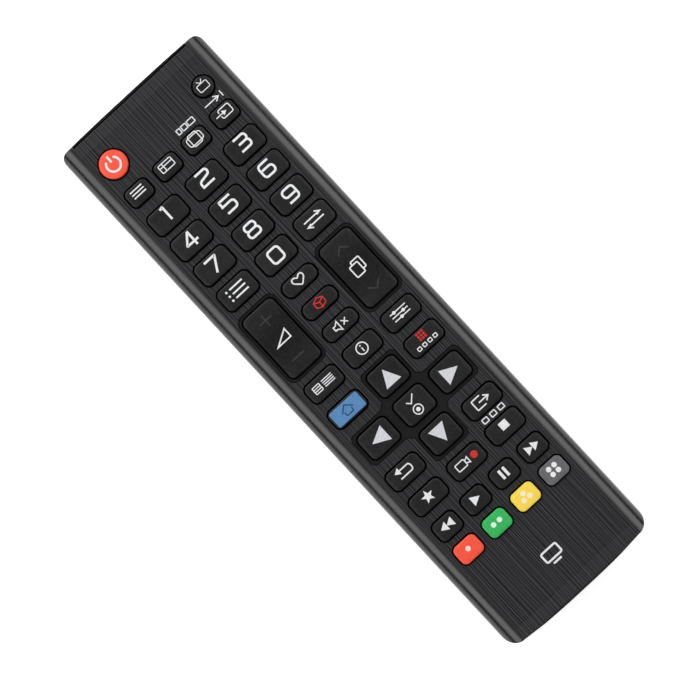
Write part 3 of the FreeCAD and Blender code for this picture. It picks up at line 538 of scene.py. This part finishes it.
# The shallow cross round the arrow keys: two arms, and a block that cuts its inner corners at 45 degrees
cross_rim, cross_corner, inner_chamfer = 0.0006, 0.0016, 0.0015
up_low, up_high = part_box("key_up")
left_low, left_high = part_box("key_left")
middle = Vector((0.0, (left_low.y + left_high.y) / 2, 0.0))
arm_width, arm_height = up_high.x - up_low.x + 2 * cross_rim, left_high.y - left_low.y + 2 * cross_rim
long_arm = rounded_block(middle, arm_width, up_high.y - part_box("key_down")[0].y + 2 * cross_rim,
                         cross_corner, *recess)
wide_arm = rounded_block(middle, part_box("key_right")[1].x - left_low.x + 2 * cross_rim, arm_height,
                         cross_corner, *recess)
centre = block((middle.x, middle.y, body_height + (wall - recess_depth) / 2),
               (arm_width + 2 * inner_chamfer, arm_height + 2 * inner_chamfer, wall + recess_depth))
round_edges(centre, [edge for edge in centre.edges if run_of(edge, "z") > wall / 2], inner_chamfer, 1)
cross_recess = carved(mesh_of("long", long_arm), ("UNION", mesh_of("wide", wide_arm)),
                      ("UNION", mesh_of("centre", centre)))

key_gap = 0.0003
through = (body_height - 2 * wall, body_height + wall)
openings = []
for corner, nodes in KEY_CORNERS + ((0.0017, ("key_red", "key_green", "key_yellow", "key_grey")),
                                    (None, ("key_power",)), (0.0017, ROCKERS)):
    for node in nodes:
        low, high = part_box(node)
        middle = (low + high) / 2
        width = high.x - low.x - 2 * flange_reach + 2 * key_gap
        height = high.y - low.y + 2 * key_gap - (0.0 if node in ROCKERS else 2 * flange_reach)
        if corner is None:
            openings.append(round_block(middle, height / 2, *through))
        else:
            openings.append(rounded_block(middle, width, height, corner + key_gap, *through))

# The shell: three forms that meet, less its hollow, the rabbet for the lip and the window's seat
below_parting, above_face = 0.010, body_height + cut_past
rabbet_inset, rabbet_low, rabbet_high = 0.00085, 0.0130, 0.0149
seat_centre, seat_size = (0.0, 0.0981, 0.01845), (0.044, 0.0042, 0.0067)
hollow = carved(section_form(wall), ("INTERSECT", plan_form(wall, below_parting, body_height)))
cover = shape_of(carved(
    side_form(),
    ("INTERSECT", section_form(0.0)),
    ("INTERSECT", plan_form(0.0, below_parting, above_face)),
    ("DIFFERENCE", hollow),
    ("DIFFERENCE", plan_form(rabbet_inset, rabbet_low, rabbet_high)),
    ("DIFFERENCE", mesh_of("window_seat", block(seat_centre, seat_size))),
    ("DIFFERENCE", mesh_of("rocker_recesses", *rocker_recesses)),
    ("DIFFERENCE", cross_recess),
    ("DIFFERENCE", mesh_of("openings", *openings)),
))
bmesh.ops.remove_doubles(cover, verts=cover.verts, dist=0.000001)
bmesh.ops.dissolve_limit(cover, angle_limit=math.radians(0.2), verts=cover.verts, edges=cover.edges)
cover.normal_update()

# The openings and recesses have rounded lips
lip_radius, lip_zone = 0.00032, 0.0006
lips = []
for edge in cover.edges:
    if min(end.co.z for end in edge.verts) > body_height - lip_zone and len(edge.link_faces) == 2:
        slopes = sorted(abs(face.normal.z) for face in edge.link_faces)
        if slopes[0] < 0.05 and slopes[1] > 0.99 and edge.is_convex:
            lips.append(edge)
round_edges(cover, lips, lip_radius, 3)

# Two long ribs and a cross rib press the mat down, and the post takes the case screw
root_in_wall = 0.0003
under_face, mat_top, boss_top = body_height - wall + root_in_wall, 0.0154, 0.0076
rib_place, rib_width, rib_corner = 0.0075, 0.0014, 0.0002
cross_rib_length, cross_rib_gap = 0.0388, 0.001
post_radius, pilot_radius, pilot_room = 0.0028, 0.0012, 0.00045
rib_tail, rib_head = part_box("key_text")[0].y + flange_reach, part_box("key_2")[1].y - flange_reach
ribs = [rounded_block(Vector((side * rib_place, (rib_tail + rib_head) / 2, 0.0)), rib_width,
                      rib_head - rib_tail, rib_corner, mat_top, under_face, 1) for side in (-1, 1)]
cross_rib_middle = Vector((0.0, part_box("key_red")[0].y - cross_rib_gap, 0.0))
ribs.append(rounded_block(cross_rib_middle, cross_rib_length, rib_width, rib_corner, mat_top, under_face, 1))
screw_low, screw_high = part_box("case_screw")
screw_axis = (screw_low + screw_high) / 2
post = mesh_of("post", round_block(screw_axis, post_radius, boss_top, under_face))
pilot = mesh_of("pilot", round_block(screw_axis, pilot_radius, boss_top - cut_past,
                                     screw_high.z + pilot_room))
cover_mesh = mesh_of("front_shell", cover, *ribs, shape_of(carved(post, ("DIFFERENCE", pilot))))

brushed, tree, shader = new_material("brushed_face")


def hairlines(shift):
    """A noise that is far finer across the remote than along it, so that it reads as brushed lines."""
    mapping = tree.nodes.new("ShaderNodeMapping")
    mapping.inputs["Scale"].default_value = (2600.0, 32.0, 0.0)
    mapping.inputs["Location"].default_value = (shift, 0.0, 0.4)
    tree.links.new(tree.nodes.new("ShaderNodeTexCoord").outputs["Object"], mapping.inputs["Vector"])
    return add_noise(tree, 1.0, 1.0, mapping.outputs["Vector"])


# Where one finish gives way to the next: across from the middle, along from it, and up from the table
face_side, recess_side, recess_end = (0.0222, 0.0232), (0.0222, 0.0224), (0.0920, 0.0925)
face_height, under_floor, over_floor = (0.01991, 0.01997), (0.0193, 0.01952), (0.01958, 0.01965)
shoulder_foot = (0.0180, 0.0192)

# Masks for the flat face, for what lies between the shoulders, and for the walls of its openings and
# recesses, which get painted shade
place = place_in(tree)
from_middle = add_maths(tree, "ABSOLUTE", place["X"])
on_face = add_maths(tree, "MULTIPLY", add_range(tree, from_middle, *face_side, 1.0, 0.0),
                    add_range(tree, place["Z"], *face_height))
off_ends = add_range(tree, add_maths(tree, "ABSOLUTE", place["Y"]), *recess_end, 1.0, 0.0)
in_recess = add_maths(tree, "MULTIPLY", add_range(tree, from_middle, *recess_side, 1.0, 0.0), off_ends)
off_floor = add_maths(tree, "ADD", add_range(tree, place["Z"], *under_floor, 1.0, 0.0),
                      add_range(tree, place["Z"], *over_floor))
shaded_opening = add_maths(tree, "MULTIPLY", in_recess, off_floor)

# Colours: dark and pale hairlines on the face, satin black elsewhere, and painted shade, near black, on the
# walls of an opening
lines = add_maths(tree, "SUBTRACT", hairlines(0.0), hairlines(0.5))
streaks = add_range(tree, lines, -0.24, 0.24)
drawn = add_mix(tree, streaks, paint(18, 18, 19), paint(72, 72, 74))
grain = add_group(tree, grain_tree, Scale=5200.0)
satin = add_mix(tree, grain["Shade"], paint(13, 13, 14), paint(19, 19, 20))
satin = add_mix(tree, in_recess, satin, paint(36, 36, 37))
satin = add_mix(tree, shaded_opening, satin, painted_shade_black)
tree.links.new(add_mix(tree, on_face, satin, drawn), shader.inputs["Base Color"])

# Shine and relief: the brushed face is rougher and less glossy than the satin shoulders
handling = add_group(tree, smudge_tree, Clean=0.24, Smudged=0.29)
rough = add_maths(tree, "ADD", handling["Roughness"], add_maths(tree, "MULTIPLY", on_face, 0.10))
tree.links.new(rough, shader.inputs["Roughness"])
flat_shine = add_range(tree, add_maths(tree, "MAXIMUM", on_face, in_recess), 0.0, 1.0, 0.9, 0.25)
side_shine = add_range(tree, place["Z"], *shoulder_foot, 0.5, 0.9)
shine = add_maths(tree, "MINIMUM", flat_shine, side_shine)
# The walls of an opening also lose a little gloss, as part of their painted shade
tree.links.new(add_maths(tree, "SUBTRACT", shine, add_maths(tree, "MULTIPLY", shaded_opening, 0.2)),
               shader.inputs["Specular IOR Level"])
streak_relief = add_maths(tree, "MULTIPLY", add_maths(tree, "MULTIPLY", streaks, on_face), 0.25)
relief = add_maths(tree, "ADD", streak_relief, add_maths(tree, "MULTIPLY", grain["Height"], 0.5))
add_bump(tree, relief, 0.00002)
shell = softened(finished("front_shell", cover_mesh, brushed, "case", "front_cover"))

# The two end walls are shaded flat, clear of the rounded edges round them
for face in shell.data.polygons:
    if abs(face.normal.y) > 0.993 and abs(face.center.y) > 0.095:
        face.use_smooth = False


# Printed marks: white ink, pad-printed on the keys' tops and on the face. The plain digits are a
# squared, wide pattern, and every other mark is a simple sign for what its key does.

ink = moulded("white_ink", (226, 227, 229), (236, 237, 239), 0.5, 0.6, 9000.0, 0.000004)
silver_ink = moulded("silver_ink", (204, 205, 210), (216, 217, 222), 0.45, 0.55, 9000.0, 0.000004)
red_ink = moulded("red_ink", (196, 34, 30), (206, 42, 36), 0.5, 0.6, 9000.0, 0.000004)
blue_ink = moulded("blue_ink", (26, 52, 88), (32, 60, 98), 0.5, 0.6, 9000.0, 0.000004)
ink_rise, ink_sink, ink_layer = 0.00003, 0.00002, 0.000002
millimetre = 0.001


def line_mark(name, body, middle, width, *paths, material=ink, along=0.0, rise=ink_rise):
    """Draws strokes of one width. A path is its bend and its points, and is closed if it ends where it began.

    Paths are in millimetres from a middle, and along moves them all towards the head end.
    """
    shapes = []
    for layer, (bend, *points) in enumerate(paths):
        shape = bmesh.new()
        closed = points[0] == points[-1]
        ends = [shape.verts.new((middle.x + x * millimetre, middle.y + (y + along) * millimetre,
                                 middle.z - ink_sink)) for x, y in (points[:-1] if closed else points)]
        for pair in zip(ends, ends[1:] + (ends[:1] if closed else [])):
            shape.edges.new(pair)
        if bend:
            bmesh.ops.bevel(shape, geom=ends if closed else ends[1:-1], offset=bend * millimetre,
                            offset_type="OFFSET", segments=5, profile=0.5, affect="VERTICES", material=-1)
        raised = bmesh.ops.extrude_edge_only(shape, edges=shape.edges[:])
        bmesh.ops.translate(shape, vec=(0.0, 0.0, rise + ink_sink + ink_layer * layer),
                            verts=corners_in(raised))
        bmesh.ops.recalc_face_normals(shape, faces=shape.faces)
        shapes.append(shape)
    piece = finished(name, mesh_of(name, *shapes), material, body)
    stroke = piece.modifiers.new("Stroke width", "SOLIDIFY")
    stroke.thickness = width * millimetre
    stroke.offset = 0.0
    stroke.use_even_offset = True
    return piece


def solid_mark(name, body, middle, *outlines, material=ink):
    """Prints filled outlines, each a bend of nought and its corners in millimetres from a middle."""
    shape = bmesh.new()
    for bend, *points in outlines:
        if points[0] == points[-1]:
            points = points[:-1]
        shape.faces.new([shape.verts.new((middle.x + x * millimetre, middle.y + y * millimetre, middle.z))
                         for x, y in points])
    bmesh.ops.recalc_face_normals(shape, faces=shape.faces)
    for face in shape.faces:
        if face.normal.z < 0:
            face.normal_flip()
    raised = bmesh.ops.extrude_face_region(shape, geom=shape.faces[:])
    bmesh.ops.translate(shape, vec=(0.0, 0.0, ink_rise - 2 * ink_layer), verts=corners_in(raised))
    bmesh.ops.recalc_face_normals(shape, faces=shape.faces)
    return finished(name, mesh_of(name, shape), material, body)


def circle(x, y, radius, sides=24):
    """A closed path round a centre."""
    turns = [2 * math.pi * side / sides for side in range(sides)]
    points = [(x + radius * math.cos(turn), y + radius * math.sin(turn)) for turn in turns]
    return (0.0, *points, points[0])


def rectangle(bend, left, low, right, high):
    """A closed path round four corners."""
    return (bend, (left, low), (right, low), (right, high), (left, high), (left, low))


def top_of(node):
    """The middle of a key's top."""
    low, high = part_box(node)
    return Vector(((low.x + high.x) / 2, (low.y + high.y) / 2, high.z))


# Digits: strokes with rounded bends, a little towards the head of each key. Their strokes' middles
# reach w to each side and h up and down.
w, h = 2.0, 2.06
digit_stroke, row_lifts = 0.68, (0.9, 0.5, 0.35, 0.15)
DIGITS = {
    "0": [rectangle(0.95, -w, -h, w, h)],
    "1": [(0.2, (-0.85, 1.75), (0.2, 2.1), (0.2, -2.44))],
    "2": [(0.8, (-w, h), (w, h), (w, 0.35), (-w, -0.35), (-w, -h)), (0.0, (-w - 0.34, -h), (w + 0.1, -h))],
    "3": [(0.9, (-w, h), (w, h), (w, 0.05), (-w + 0.6, 0.05)),
          (0.9, (-w + 0.6, 0.05), (w, 0.05), (w, -h), (-w, -h))],
    "4": [(0.0, (0.7, -2.44), (0.7, 2.38)), (0.25, (0.65, 2.23), (-w - 0.1, -1.1), (w + 0.1, -1.1))],
    "5": [(0.1, (w, h), (-w, h), (-w, 0.2)), (0.95, (-w - 0.42, 0.35), (w, 0.35), (w, -h), (-w, -h))],
    "6": [(1.0, (w - 0.1, h), (-w, h), (-w, -h), (w, -h), (w, 0.3), (-w + 0.4, 0.3))],
    "7": [(0.15, (-w, h), (w, h), (-0.7, -2.38))],
    "8": [rectangle(0.9, -w + 0.15, 0.05, w - 0.15, h), rectangle(0.9, -w, -h, w, 0.05)],
    "9": [(1.0, (-w + 0.1, -h), (w, -h), (w, h), (-w, h), (-w, -0.3), (w - 0.4, -0.3))],
}
for digit, paths in DIGITS.items():
    node = f"key_{digit}"
    row = 3 if digit == "0" else (int(digit) - 1) // 3
    line_mark(f"digit_{digit}", node, top_of(node), digit_stroke, *paths, along=row_lifts[row])

# Signs drawn in strokes: key, stroke width, ink, place along the key and paths
SIGNS = (
    ("key_power", 0.62, ink, 0.0, [
        (0.0, *[(2.15 * math.sin(turn), 2.15 * math.cos(turn))
                for turn in [0.62 + 0.2517 * step for step in range(21)]]),
        (0.0, (0.0, 0.75), (0.0, 2.95))]),
    ("key_radio", 0.26, ink, 0.35, [rectangle(0.35, -1.75, -1.5, 1.75, 0.65),
                                    (0.0, (-0.9, 1.75), (0.0, 0.7), (0.9, 1.75))]),
    ("key_menu", 0.38, ink, 0.55, [(0.0, (-2.2, y), (2.2, y)) for y in (1.0, 0.0, -1.0)]),
    ("key_guide", 0.3, ink, 0.55, [rectangle(0.3, -2.3, -1.25, 2.3, 1.25), (0.0, (-2.3, 0.3), (2.3, 0.3)),
                                   (0.0, (-0.9, 1.25), (-0.9, -1.25))]),
    ("key_ratio", 0.3, ink, 0.55, [rectangle(0.7, -2.5, -1.3, 2.5, 1.3),
                                   rectangle(0.5, -1.55, -1.85, 1.55, 1.85)]),
    ("key_input", 0.32, ink, 0.55, [
        (0.5, (-1.15, 0.5), (-1.15, 1.4), (2.7, 1.4), (2.7, -1.4), (-1.15, -1.4), (-1.15, -0.5)),
        (0.0, (-2.7, 0.0), (0.2, 0.0))]),
    ("key_list", 0.5, ink, 0.3, [(0.0, (-1.7, y), (3.1, y)) for y in (1.5, 0.0, -1.5)]),
    ("key_recall", 0.42, ink, 0.3, [
        (0.0, (-3.1, 0.8), (2.6, 0.8)), (0.0, (-2.6, -0.8), (3.1, -0.8)),
        (0.0, (1.5, 1.75), (2.9, 0.8), (1.5, 0.45)), (0.0, (-1.5, -1.75), (-2.9, -0.8), (-1.5, -0.45))]),
    ("key_fav", 0.4, ink, 0.15, [
        (0.45, (0.0, -1.5), (2.0, 0.35), (1.9, 1.45), (0.75, 1.6), (0.0, 0.75), (-0.75, 1.6), (-1.9, 1.45),
         (-2.0, 0.35), (0.0, -1.5))]),
    ("key_3d", 0.34, red_ink, 0.2, [
        (0.0, (0.0, -1.6), (1.7, -0.8), (1.7, 0.8), (0.0, 1.6), (-1.7, 0.8), (-1.7, -0.8), (0.0, -1.6)),
        (0.0, (-1.7, 0.8), (0.0, 0.05), (1.7, 0.8)), (0.0, (0.0, 0.05), (0.0, -1.6))]),
    ("key_mute", 0.34, ink, 0.15, [
        (0.0, (-2.2, -0.6), (-1.4, -0.6), (-0.3, -1.5), (-0.3, 1.5), (-1.4, 0.6), (-2.2, 0.6), (-2.2, -0.6)),
        (0.0, (0.8, -0.8), (2.4, 0.8)), (0.0, (0.8, 0.8), (2.4, -0.8))]),
    ("key_volume", 0.42, ink, 0.15, [(0.0, (-2.55, -1.45), (2.35, -1.45), (2.35, 1.45), (-2.55, -1.45))]),
    ("key_page", 0.42, ink, 0.1, [
        rectangle(0.35, -2.1, -2.2, 0.9, 1.5),
        (0.35, (-0.9, 1.5), (-0.9, 2.5), (2.1, 2.5), (2.1, -1.2), (0.9, -1.2))]),
    ("key_text", 0.3, ink, 0.25, [
        rectangle(0.2, -3.6, -1.1, -1.1, 1.1),
        *[(0.0, (-3.6, y), (-1.1, y)) for y in (0.35, -0.35)],
        *[(0.0, (-0.2, y), (3.6, y)) for y in (1.0, 0.33, -0.33, -1.0)]]),
    ("key_info", 0.36, ink, 0.25, [circle(0.0, 0.0, 1.75), (0.0, (0.0, 0.25), (0.0, -1.05))]),
    ("key_options", 0.34, ink, 0.35, [(0.0, (-2.9, y), (2.9, y)) for y in (1.15, 0.0, -1.15)]),
    ("key_back", 0.42, ink, 0.35, [(0.75, (-1.3, 1.1), (2.5, 1.1), (2.5, -1.1), (-2.3, -1.1))]),
    ("key_exit", 0.4, ink, 0.3, [
        (0.25, (0.5, 1.6), (-2.6, 1.6), (-2.6, -1.6), (0.5, -1.6)),
        (0.0, (-1.0, 0.0), (2.2, 0.0)), (0.0, (1.2, 1.0), (2.5, 0.0), (1.2, -1.0))]),
    ("key_apps", 0.3, ink, -1.35, [rectangle(0.15, x - 0.55, -0.5, x + 0.55, 0.5)
                                   for x in (-3.0, -1.0, 1.0, 3.0)]),
    ("key_home", 0.32, blue_ink, 0.1, [(0.15, (-1.25, -0.2), (-1.25, -1.4), (1.25, -1.4), (1.25, -0.2)),
                                       (0.1, (-2.0, -0.15), (0.0, 1.65), (2.0, -0.15))]),
    ("key_ok", 0.34, ink, 0.0, [circle(0.0, -1.5, 1.45), (0.0, (-1.5, 2.1), (-0.4, 1.0), (1.7, 3.1))]),
    ("key_record", 0.34, ink, 0.25, [rectangle(0.3, -3.6, -1.1, -0.4, 1.1),
                                     (0.0, (-0.4, 0.3), (0.8, 0.95), (0.8, -0.95), (-0.4, -0.3))]),
)
panel_rise = 0.00006
for node, width, material, along, paths in SIGNS:
    top = top_of(node) + Vector((0.0, 0.0, panel_rise if node == "key_home" else 0.0))
    line_mark(node.replace("key_", "sign_"), node, top, width, *paths, material=material, along=along)

# Signs printed solid: arrows, transport signs, dots and squares
SOLID_SIGNS = (
    ("key_up", "arrow", silver_ink, (0.0, (-2.75, -2.55), (2.75, -2.55), (0.0, 2.7))),
    ("key_down", "arrow", silver_ink, (0.0, (-2.75, 2.7), (0.0, -2.55), (2.75, 2.7))),
    ("key_left", "arrow", silver_ink, (0.0, (2.7, -2.65), (2.7, 2.65), (-2.55, 0.0))),
    ("key_right", "arrow", silver_ink, (0.0, (-2.55, -2.65), (2.7, 0.0), (-2.55, 2.65))),
    ("key_ok", "dot", ink, circle(0.0, -1.5, 0.65)),
    ("key_input", "head", ink, (0.0, (-0.3, -0.25), (1.1, 0.55), (-0.3, 1.35))),
    ("key_list", "bullets", ink, *[circle(-2.9, y + 0.3, 0.36, 12) for y in (-1.5, 0.0, 1.5)]),
    ("key_info", "point", ink, circle(0.0, 1.15, 0.26, 12)),
    ("key_options", "knobs", ink, *[circle(x, y + 0.35, 0.52, 16)
                                    for x, y in ((-1.4, 1.15), (1.2, 0.0), (-0.3, -1.15))]),
    ("key_back", "head", ink, (0.0, (-1.1, 0.3), (-1.1, 2.6), (-2.9, 1.45))),
    ("key_apps", "grid", red_ink, *[rectangle(0.0, x - 0.35, y - 0.35, x + 0.35, y + 0.35)
                                    for x in (-0.95, 0.0, 0.95) for y in (0.45, 1.4, 2.35)]),
    ("key_app_star", "star", ink, (0.0, *[
        (radius * math.sin(math.pi * tip / 5), 0.3 + radius * math.cos(math.pi * tip / 5))
        for tip, radius in enumerate((2.1, 0.9) * 5)])),
    ("key_record", "dot", red_ink, circle(2.95, 0.25, 1.12)),
    ("key_stop", "square", ink, rectangle(0.0, -1.3, -0.65, 1.3, 1.85)),
    ("key_play", "arrow", ink, (0.0, (-1.2, -1.2), (1.6, 0.35), (-1.2, 1.9))),
    ("key_rewind", "arrows", ink, *[(0.0, (back, -1.1), (back, 1.8), (tip, 0.35))
                                    for back, tip in ((0.05, -2.2), (2.3, 0.0))]),
    ("key_forward", "arrows", ink, *[(0.0, (back, -1.1), (tip, 0.35), (back, 1.8))
                                     for back, tip in ((-2.3, 0.0), (-0.05, 2.2))]),
    ("key_pause", "bars", ink, rectangle(0.0, -1.25, -1.2, -0.4, 1.9), rectangle(0.0, 0.35, -1.2, 1.2, 1.9)),
)
for node, sign, material, *outlines in SOLID_SIGNS:
    solid_mark(f"{node.replace('key_', 'sign_')}_{sign}", node, top_of(node), *outlines, material=material)

# Dots that count the four coloured keys, in a pale tint of each key
dot_radius = 0.8
for node, tint, dots in (
    ("key_red", (252, 214, 208), ((0.0, 0.35),)),
    ("key_green", (222, 246, 228), ((-1.15, 0.35), (1.15, 0.35))),
    ("key_yellow", (252, 238, 204), ((0.0, 1.2), (-1.1, -0.5), (1.1, -0.5))),
    ("key_grey", (236, 236, 240), ((-1.05, 1.3), (1.05, 1.3), (-1.05, -0.6), (1.05, -0.6))),
):
    pale = moulded(f"pale_{node[4:]}_ink", tint, tint, 0.5, 0.6, 9000.0, 0.000004)
    solid_mark(node.replace("key_", "dots_"), node, top_of(node),
               *[circle(x, y, dot_radius, 20) for x, y in dots], material=pale)

# Raised signs in the rockers' own plastic, a little paler than the keys: plus and minus, and two chevrons
paler_raised = moulded("rubbed_key", (56, 56, 57), (62, 62, 63), 0.34, 0.44, 6500.0, 0.00001, specular=0.3)
for node, *paths in (
    ("key_volume", (0.0, (-2.4, -6.9), (2.4, -6.9)), (0.0, (-2.2, 6.9), (2.2, 6.9)),
     (0.0, (0.0, 4.9), (0.0, 8.9))),
    ("key_page", (0.2, (-2.1, -6.2), (0.0, -8.0), (2.1, -6.2)), (0.2, (-2.1, 6.2), (0.0, 8.0), (2.1, 6.2))),
):
    line_mark(node.replace("key_", "raised_"), node, top_of(node), 0.5, *paths, material=paler_raised,
              rise=2 * ink_rise)

# Marks on the face: two small rows over the upper keys, one over the stop key, and a screen at the tail
face = Vector((0.0, 0.0, body_height))
line_mark("face_ratio_mark", "case", face, 0.32, *[rectangle(0.1, x - half, 78.2, x + half, 79.7)
                                                   for x, half in ((3.6, 0.6), (5.6, 0.85), (8.1, 1.15))])
line_mark("face_input_mark", "case", face, 0.34, (0.0, (13.8, 78.95), (18.6, 78.95)),
          (0.0, (17.5, 79.85), (18.9, 78.95), (17.5, 78.05)), (0.0, (20.1, 78.0), (20.1, 79.9)))
line_mark("face_live_mark", "case", face, 0.34, *[rectangle(0.15, x - 0.9, -42.7, x + 0.9, -41.3)
                                                  for x in (12.0, 15.0, 18.0)])
line_mark("face_screen_mark", "case", face, 0.6, rectangle(0.5, -2.8, -84.4, 2.8, -81.3),
          (0.0, (-1.5, -85.6), (1.5, -85.6)))


# Infrared window: a strip of clear dark-tinted acrylic that closes the head end.
# It sits in a seat cut in the front cover and lets the emitter's beam through.

tinted = moulded("tinted_acrylic", (6, 5, 8), (10, 8, 12), 0.10, 0.16, 3000.0, 0.000002, specular=0.06)
moulding_of("ir_window", "window_strip", tinted, "case", 0.0001)


# Case screw: a zinc-plated pan head with a cross slot, sunk in the rear cover under the door.
# It goes up through the boss into the front cover's post.

zinc = moulded("zinc_plate", (150, 152, 156), (168, 170, 174), 0.26, 0.38, 5000.0, 0.000002, metallic=1.0)
slot_length, slot_width, slot_depth, slot_corner = 0.0026, 0.0006, 0.0009, 0.0001
blades = [rounded_block(screw_axis, *span, slot_corner, screw_low.z - cut_past, screw_low.z + slot_depth, 1)
          for span in ((slot_length, slot_width), (slot_width, slot_length))]
screw_mesh = carved(mesh_of("screw", joined_copy("case_screw")),
                    *[("DIFFERENCE", mesh_of("blade", blade)) for blade in blades])
softened(finished("pan_screw", screw_mesh, zinc, "case", "case_screw"), 0.00005)


# Cells: two AAA cells in plain printed sleeves, head to tail, with bare metal at both ends.
# Each sleeve has a pale body, one dark band towards its button end and a thin line beside it.

band, thin_line, printed = (0.0016, 0.0125), (0.0135, 0.0143), (0.0013, 0.0440)
band_blue, bare_metal = paint(38, 74, 92), paint(178, 178, 174)


def cell_sleeve(name, button, way):
    """A sleeve whose bands are counted back from its button end, and bare metal past the sleeve."""
    material = moulded(name, (176, 180, 182), (184, 188, 190), 0.22, 0.34, 1200.0, 0.000002)
    tree = material.node_tree
    shader = tree.nodes["Principled BSDF"]
    back = add_maths(tree, "MULTIPLY", add_maths(tree, "SUBTRACT", button, place_in(tree)["Y"]), way)

    def between(start, end, blur=0.00005):
        """One where a place lies between two distances from the button end."""
        return add_maths(tree, "MULTIPLY", add_range(tree, back, start - blur, start),
                         add_range(tree, back, end, end + blur, 1.0, 0.0))

    pale = shader.inputs["Base Color"].links[0].from_socket
    banded = add_mix(tree, between(*band), pale, band_blue)
    banded = add_mix(tree, between(*thin_line), banded, band_blue)
    bare = add_maths(tree, "SUBTRACT", 1.0, between(*printed))
    tree.links.new(add_mix(tree, bare, banded, bare_metal), shader.inputs["Base Color"])
    tree.links.new(bare, shader.inputs["Metallic"])
    return material


for node, way in (("battery_left", 1.0), ("battery_right", -1.0)):
    low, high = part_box(node)
    sleeve = cell_sleeve(node.replace("battery_", "sleeve_"), high.y if way > 0 else low.y, way)
    moulding_of(node, node.replace("battery_", "cell_"), sleeve, "case", 0.0002)


# Battery door: a sliding panel flush with the rear cover, with a grip of five grooves and a rail
# along each side. It slides off towards the tail end.

moulding_of("battery_door", "door_panel", black_abs, "battery_door", 0.00012)


# Studio: a white table, one broad lamp beyond the head end and a softbox along each side, which
# draws the pale line along each rolled shoulder. The camera looks straight down.

table_white, fill_light = 0.62, 0.12
table = bmesh.new()
bmesh.ops.create_grid(table, x_segments=1, y_segments=1, size=0.7)
floor = add_object("table", mesh_of("table", table))
white, tree, shader = new_material("white_table")
shader.inputs["Roughness"].default_value = 0.9
shader.inputs["Specular IOR Level"].default_value = 0.0
shader.inputs["Base Color"].default_value = (0.8, 0.8, 0.8, 1.0)
shader.inputs["Emission Color"].default_value = (1.0, 1.0, 1.0, 1.0)
rays = tree.nodes.new("ShaderNodeLightPath").outputs
seen = add_maths(tree, "MAXIMUM", rays["Is Camera Ray"], rays["Is Glossy Ray"])
seen = add_maths(tree, "MAXIMUM", seen, rays["Is Transmission Ray"])
tree.links.new(add_maths(tree, "MULTIPLY", seen, table_white), shader.inputs["Emission Strength"])
floor.data.materials.append(white)
floor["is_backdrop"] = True

# The world is white to the camera and a dim fill light to everything else
world = bpy.data.worlds.new("studio")
world.use_nodes = True
tree = world.node_tree
background = tree.nodes["Background"]
background.inputs["Color"].default_value = (1.0, 1.0, 1.0, 1.0)
seen = tree.nodes.new("ShaderNodeLightPath").outputs["Is Camera Ray"]
strength = add_maths(tree, "MULTIPLY_ADD", seen, 1.0 - fill_light, fill_light)
tree.links.new(strength, background.inputs["Strength"])
bpy.context.scene.world = world

for name, place, size, power in (
    ("head_lamp", (-0.10, 0.75, 0.60), (0.5, 0.4), 4.1),
    ("left_softbox", (-0.47, 0.0, 0.50), (1.0, 0.50), 2.7),
    ("right_softbox", (0.47, 0.0, 0.50), (1.0, 0.50), 2.7),
):
    lamp = bpy.data.lights.new(name, "AREA")
    lamp.shape = "RECTANGLE"
    lamp.size, lamp.size_y = size
    lamp.energy = power
    turn = Vector(place).to_track_quat("Z", "Y")
    add_object(name, lamp).matrix_world = Matrix.LocRotScale(Vector(place), turn, None)

lens = bpy.data.cameras.new("camera")
lens.lens = 120.0
lens.clip_start = 0.01
view = add_object("camera", lens)
view.location = (-0.00306, 0.00347, 0.6727)
view.rotation_euler = (0.0, 0.0, math.radians(-42.752))
bpy.context.scene.camera = view
bpy.context.scene.view_settings.view_transform = "Standard"

low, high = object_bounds()
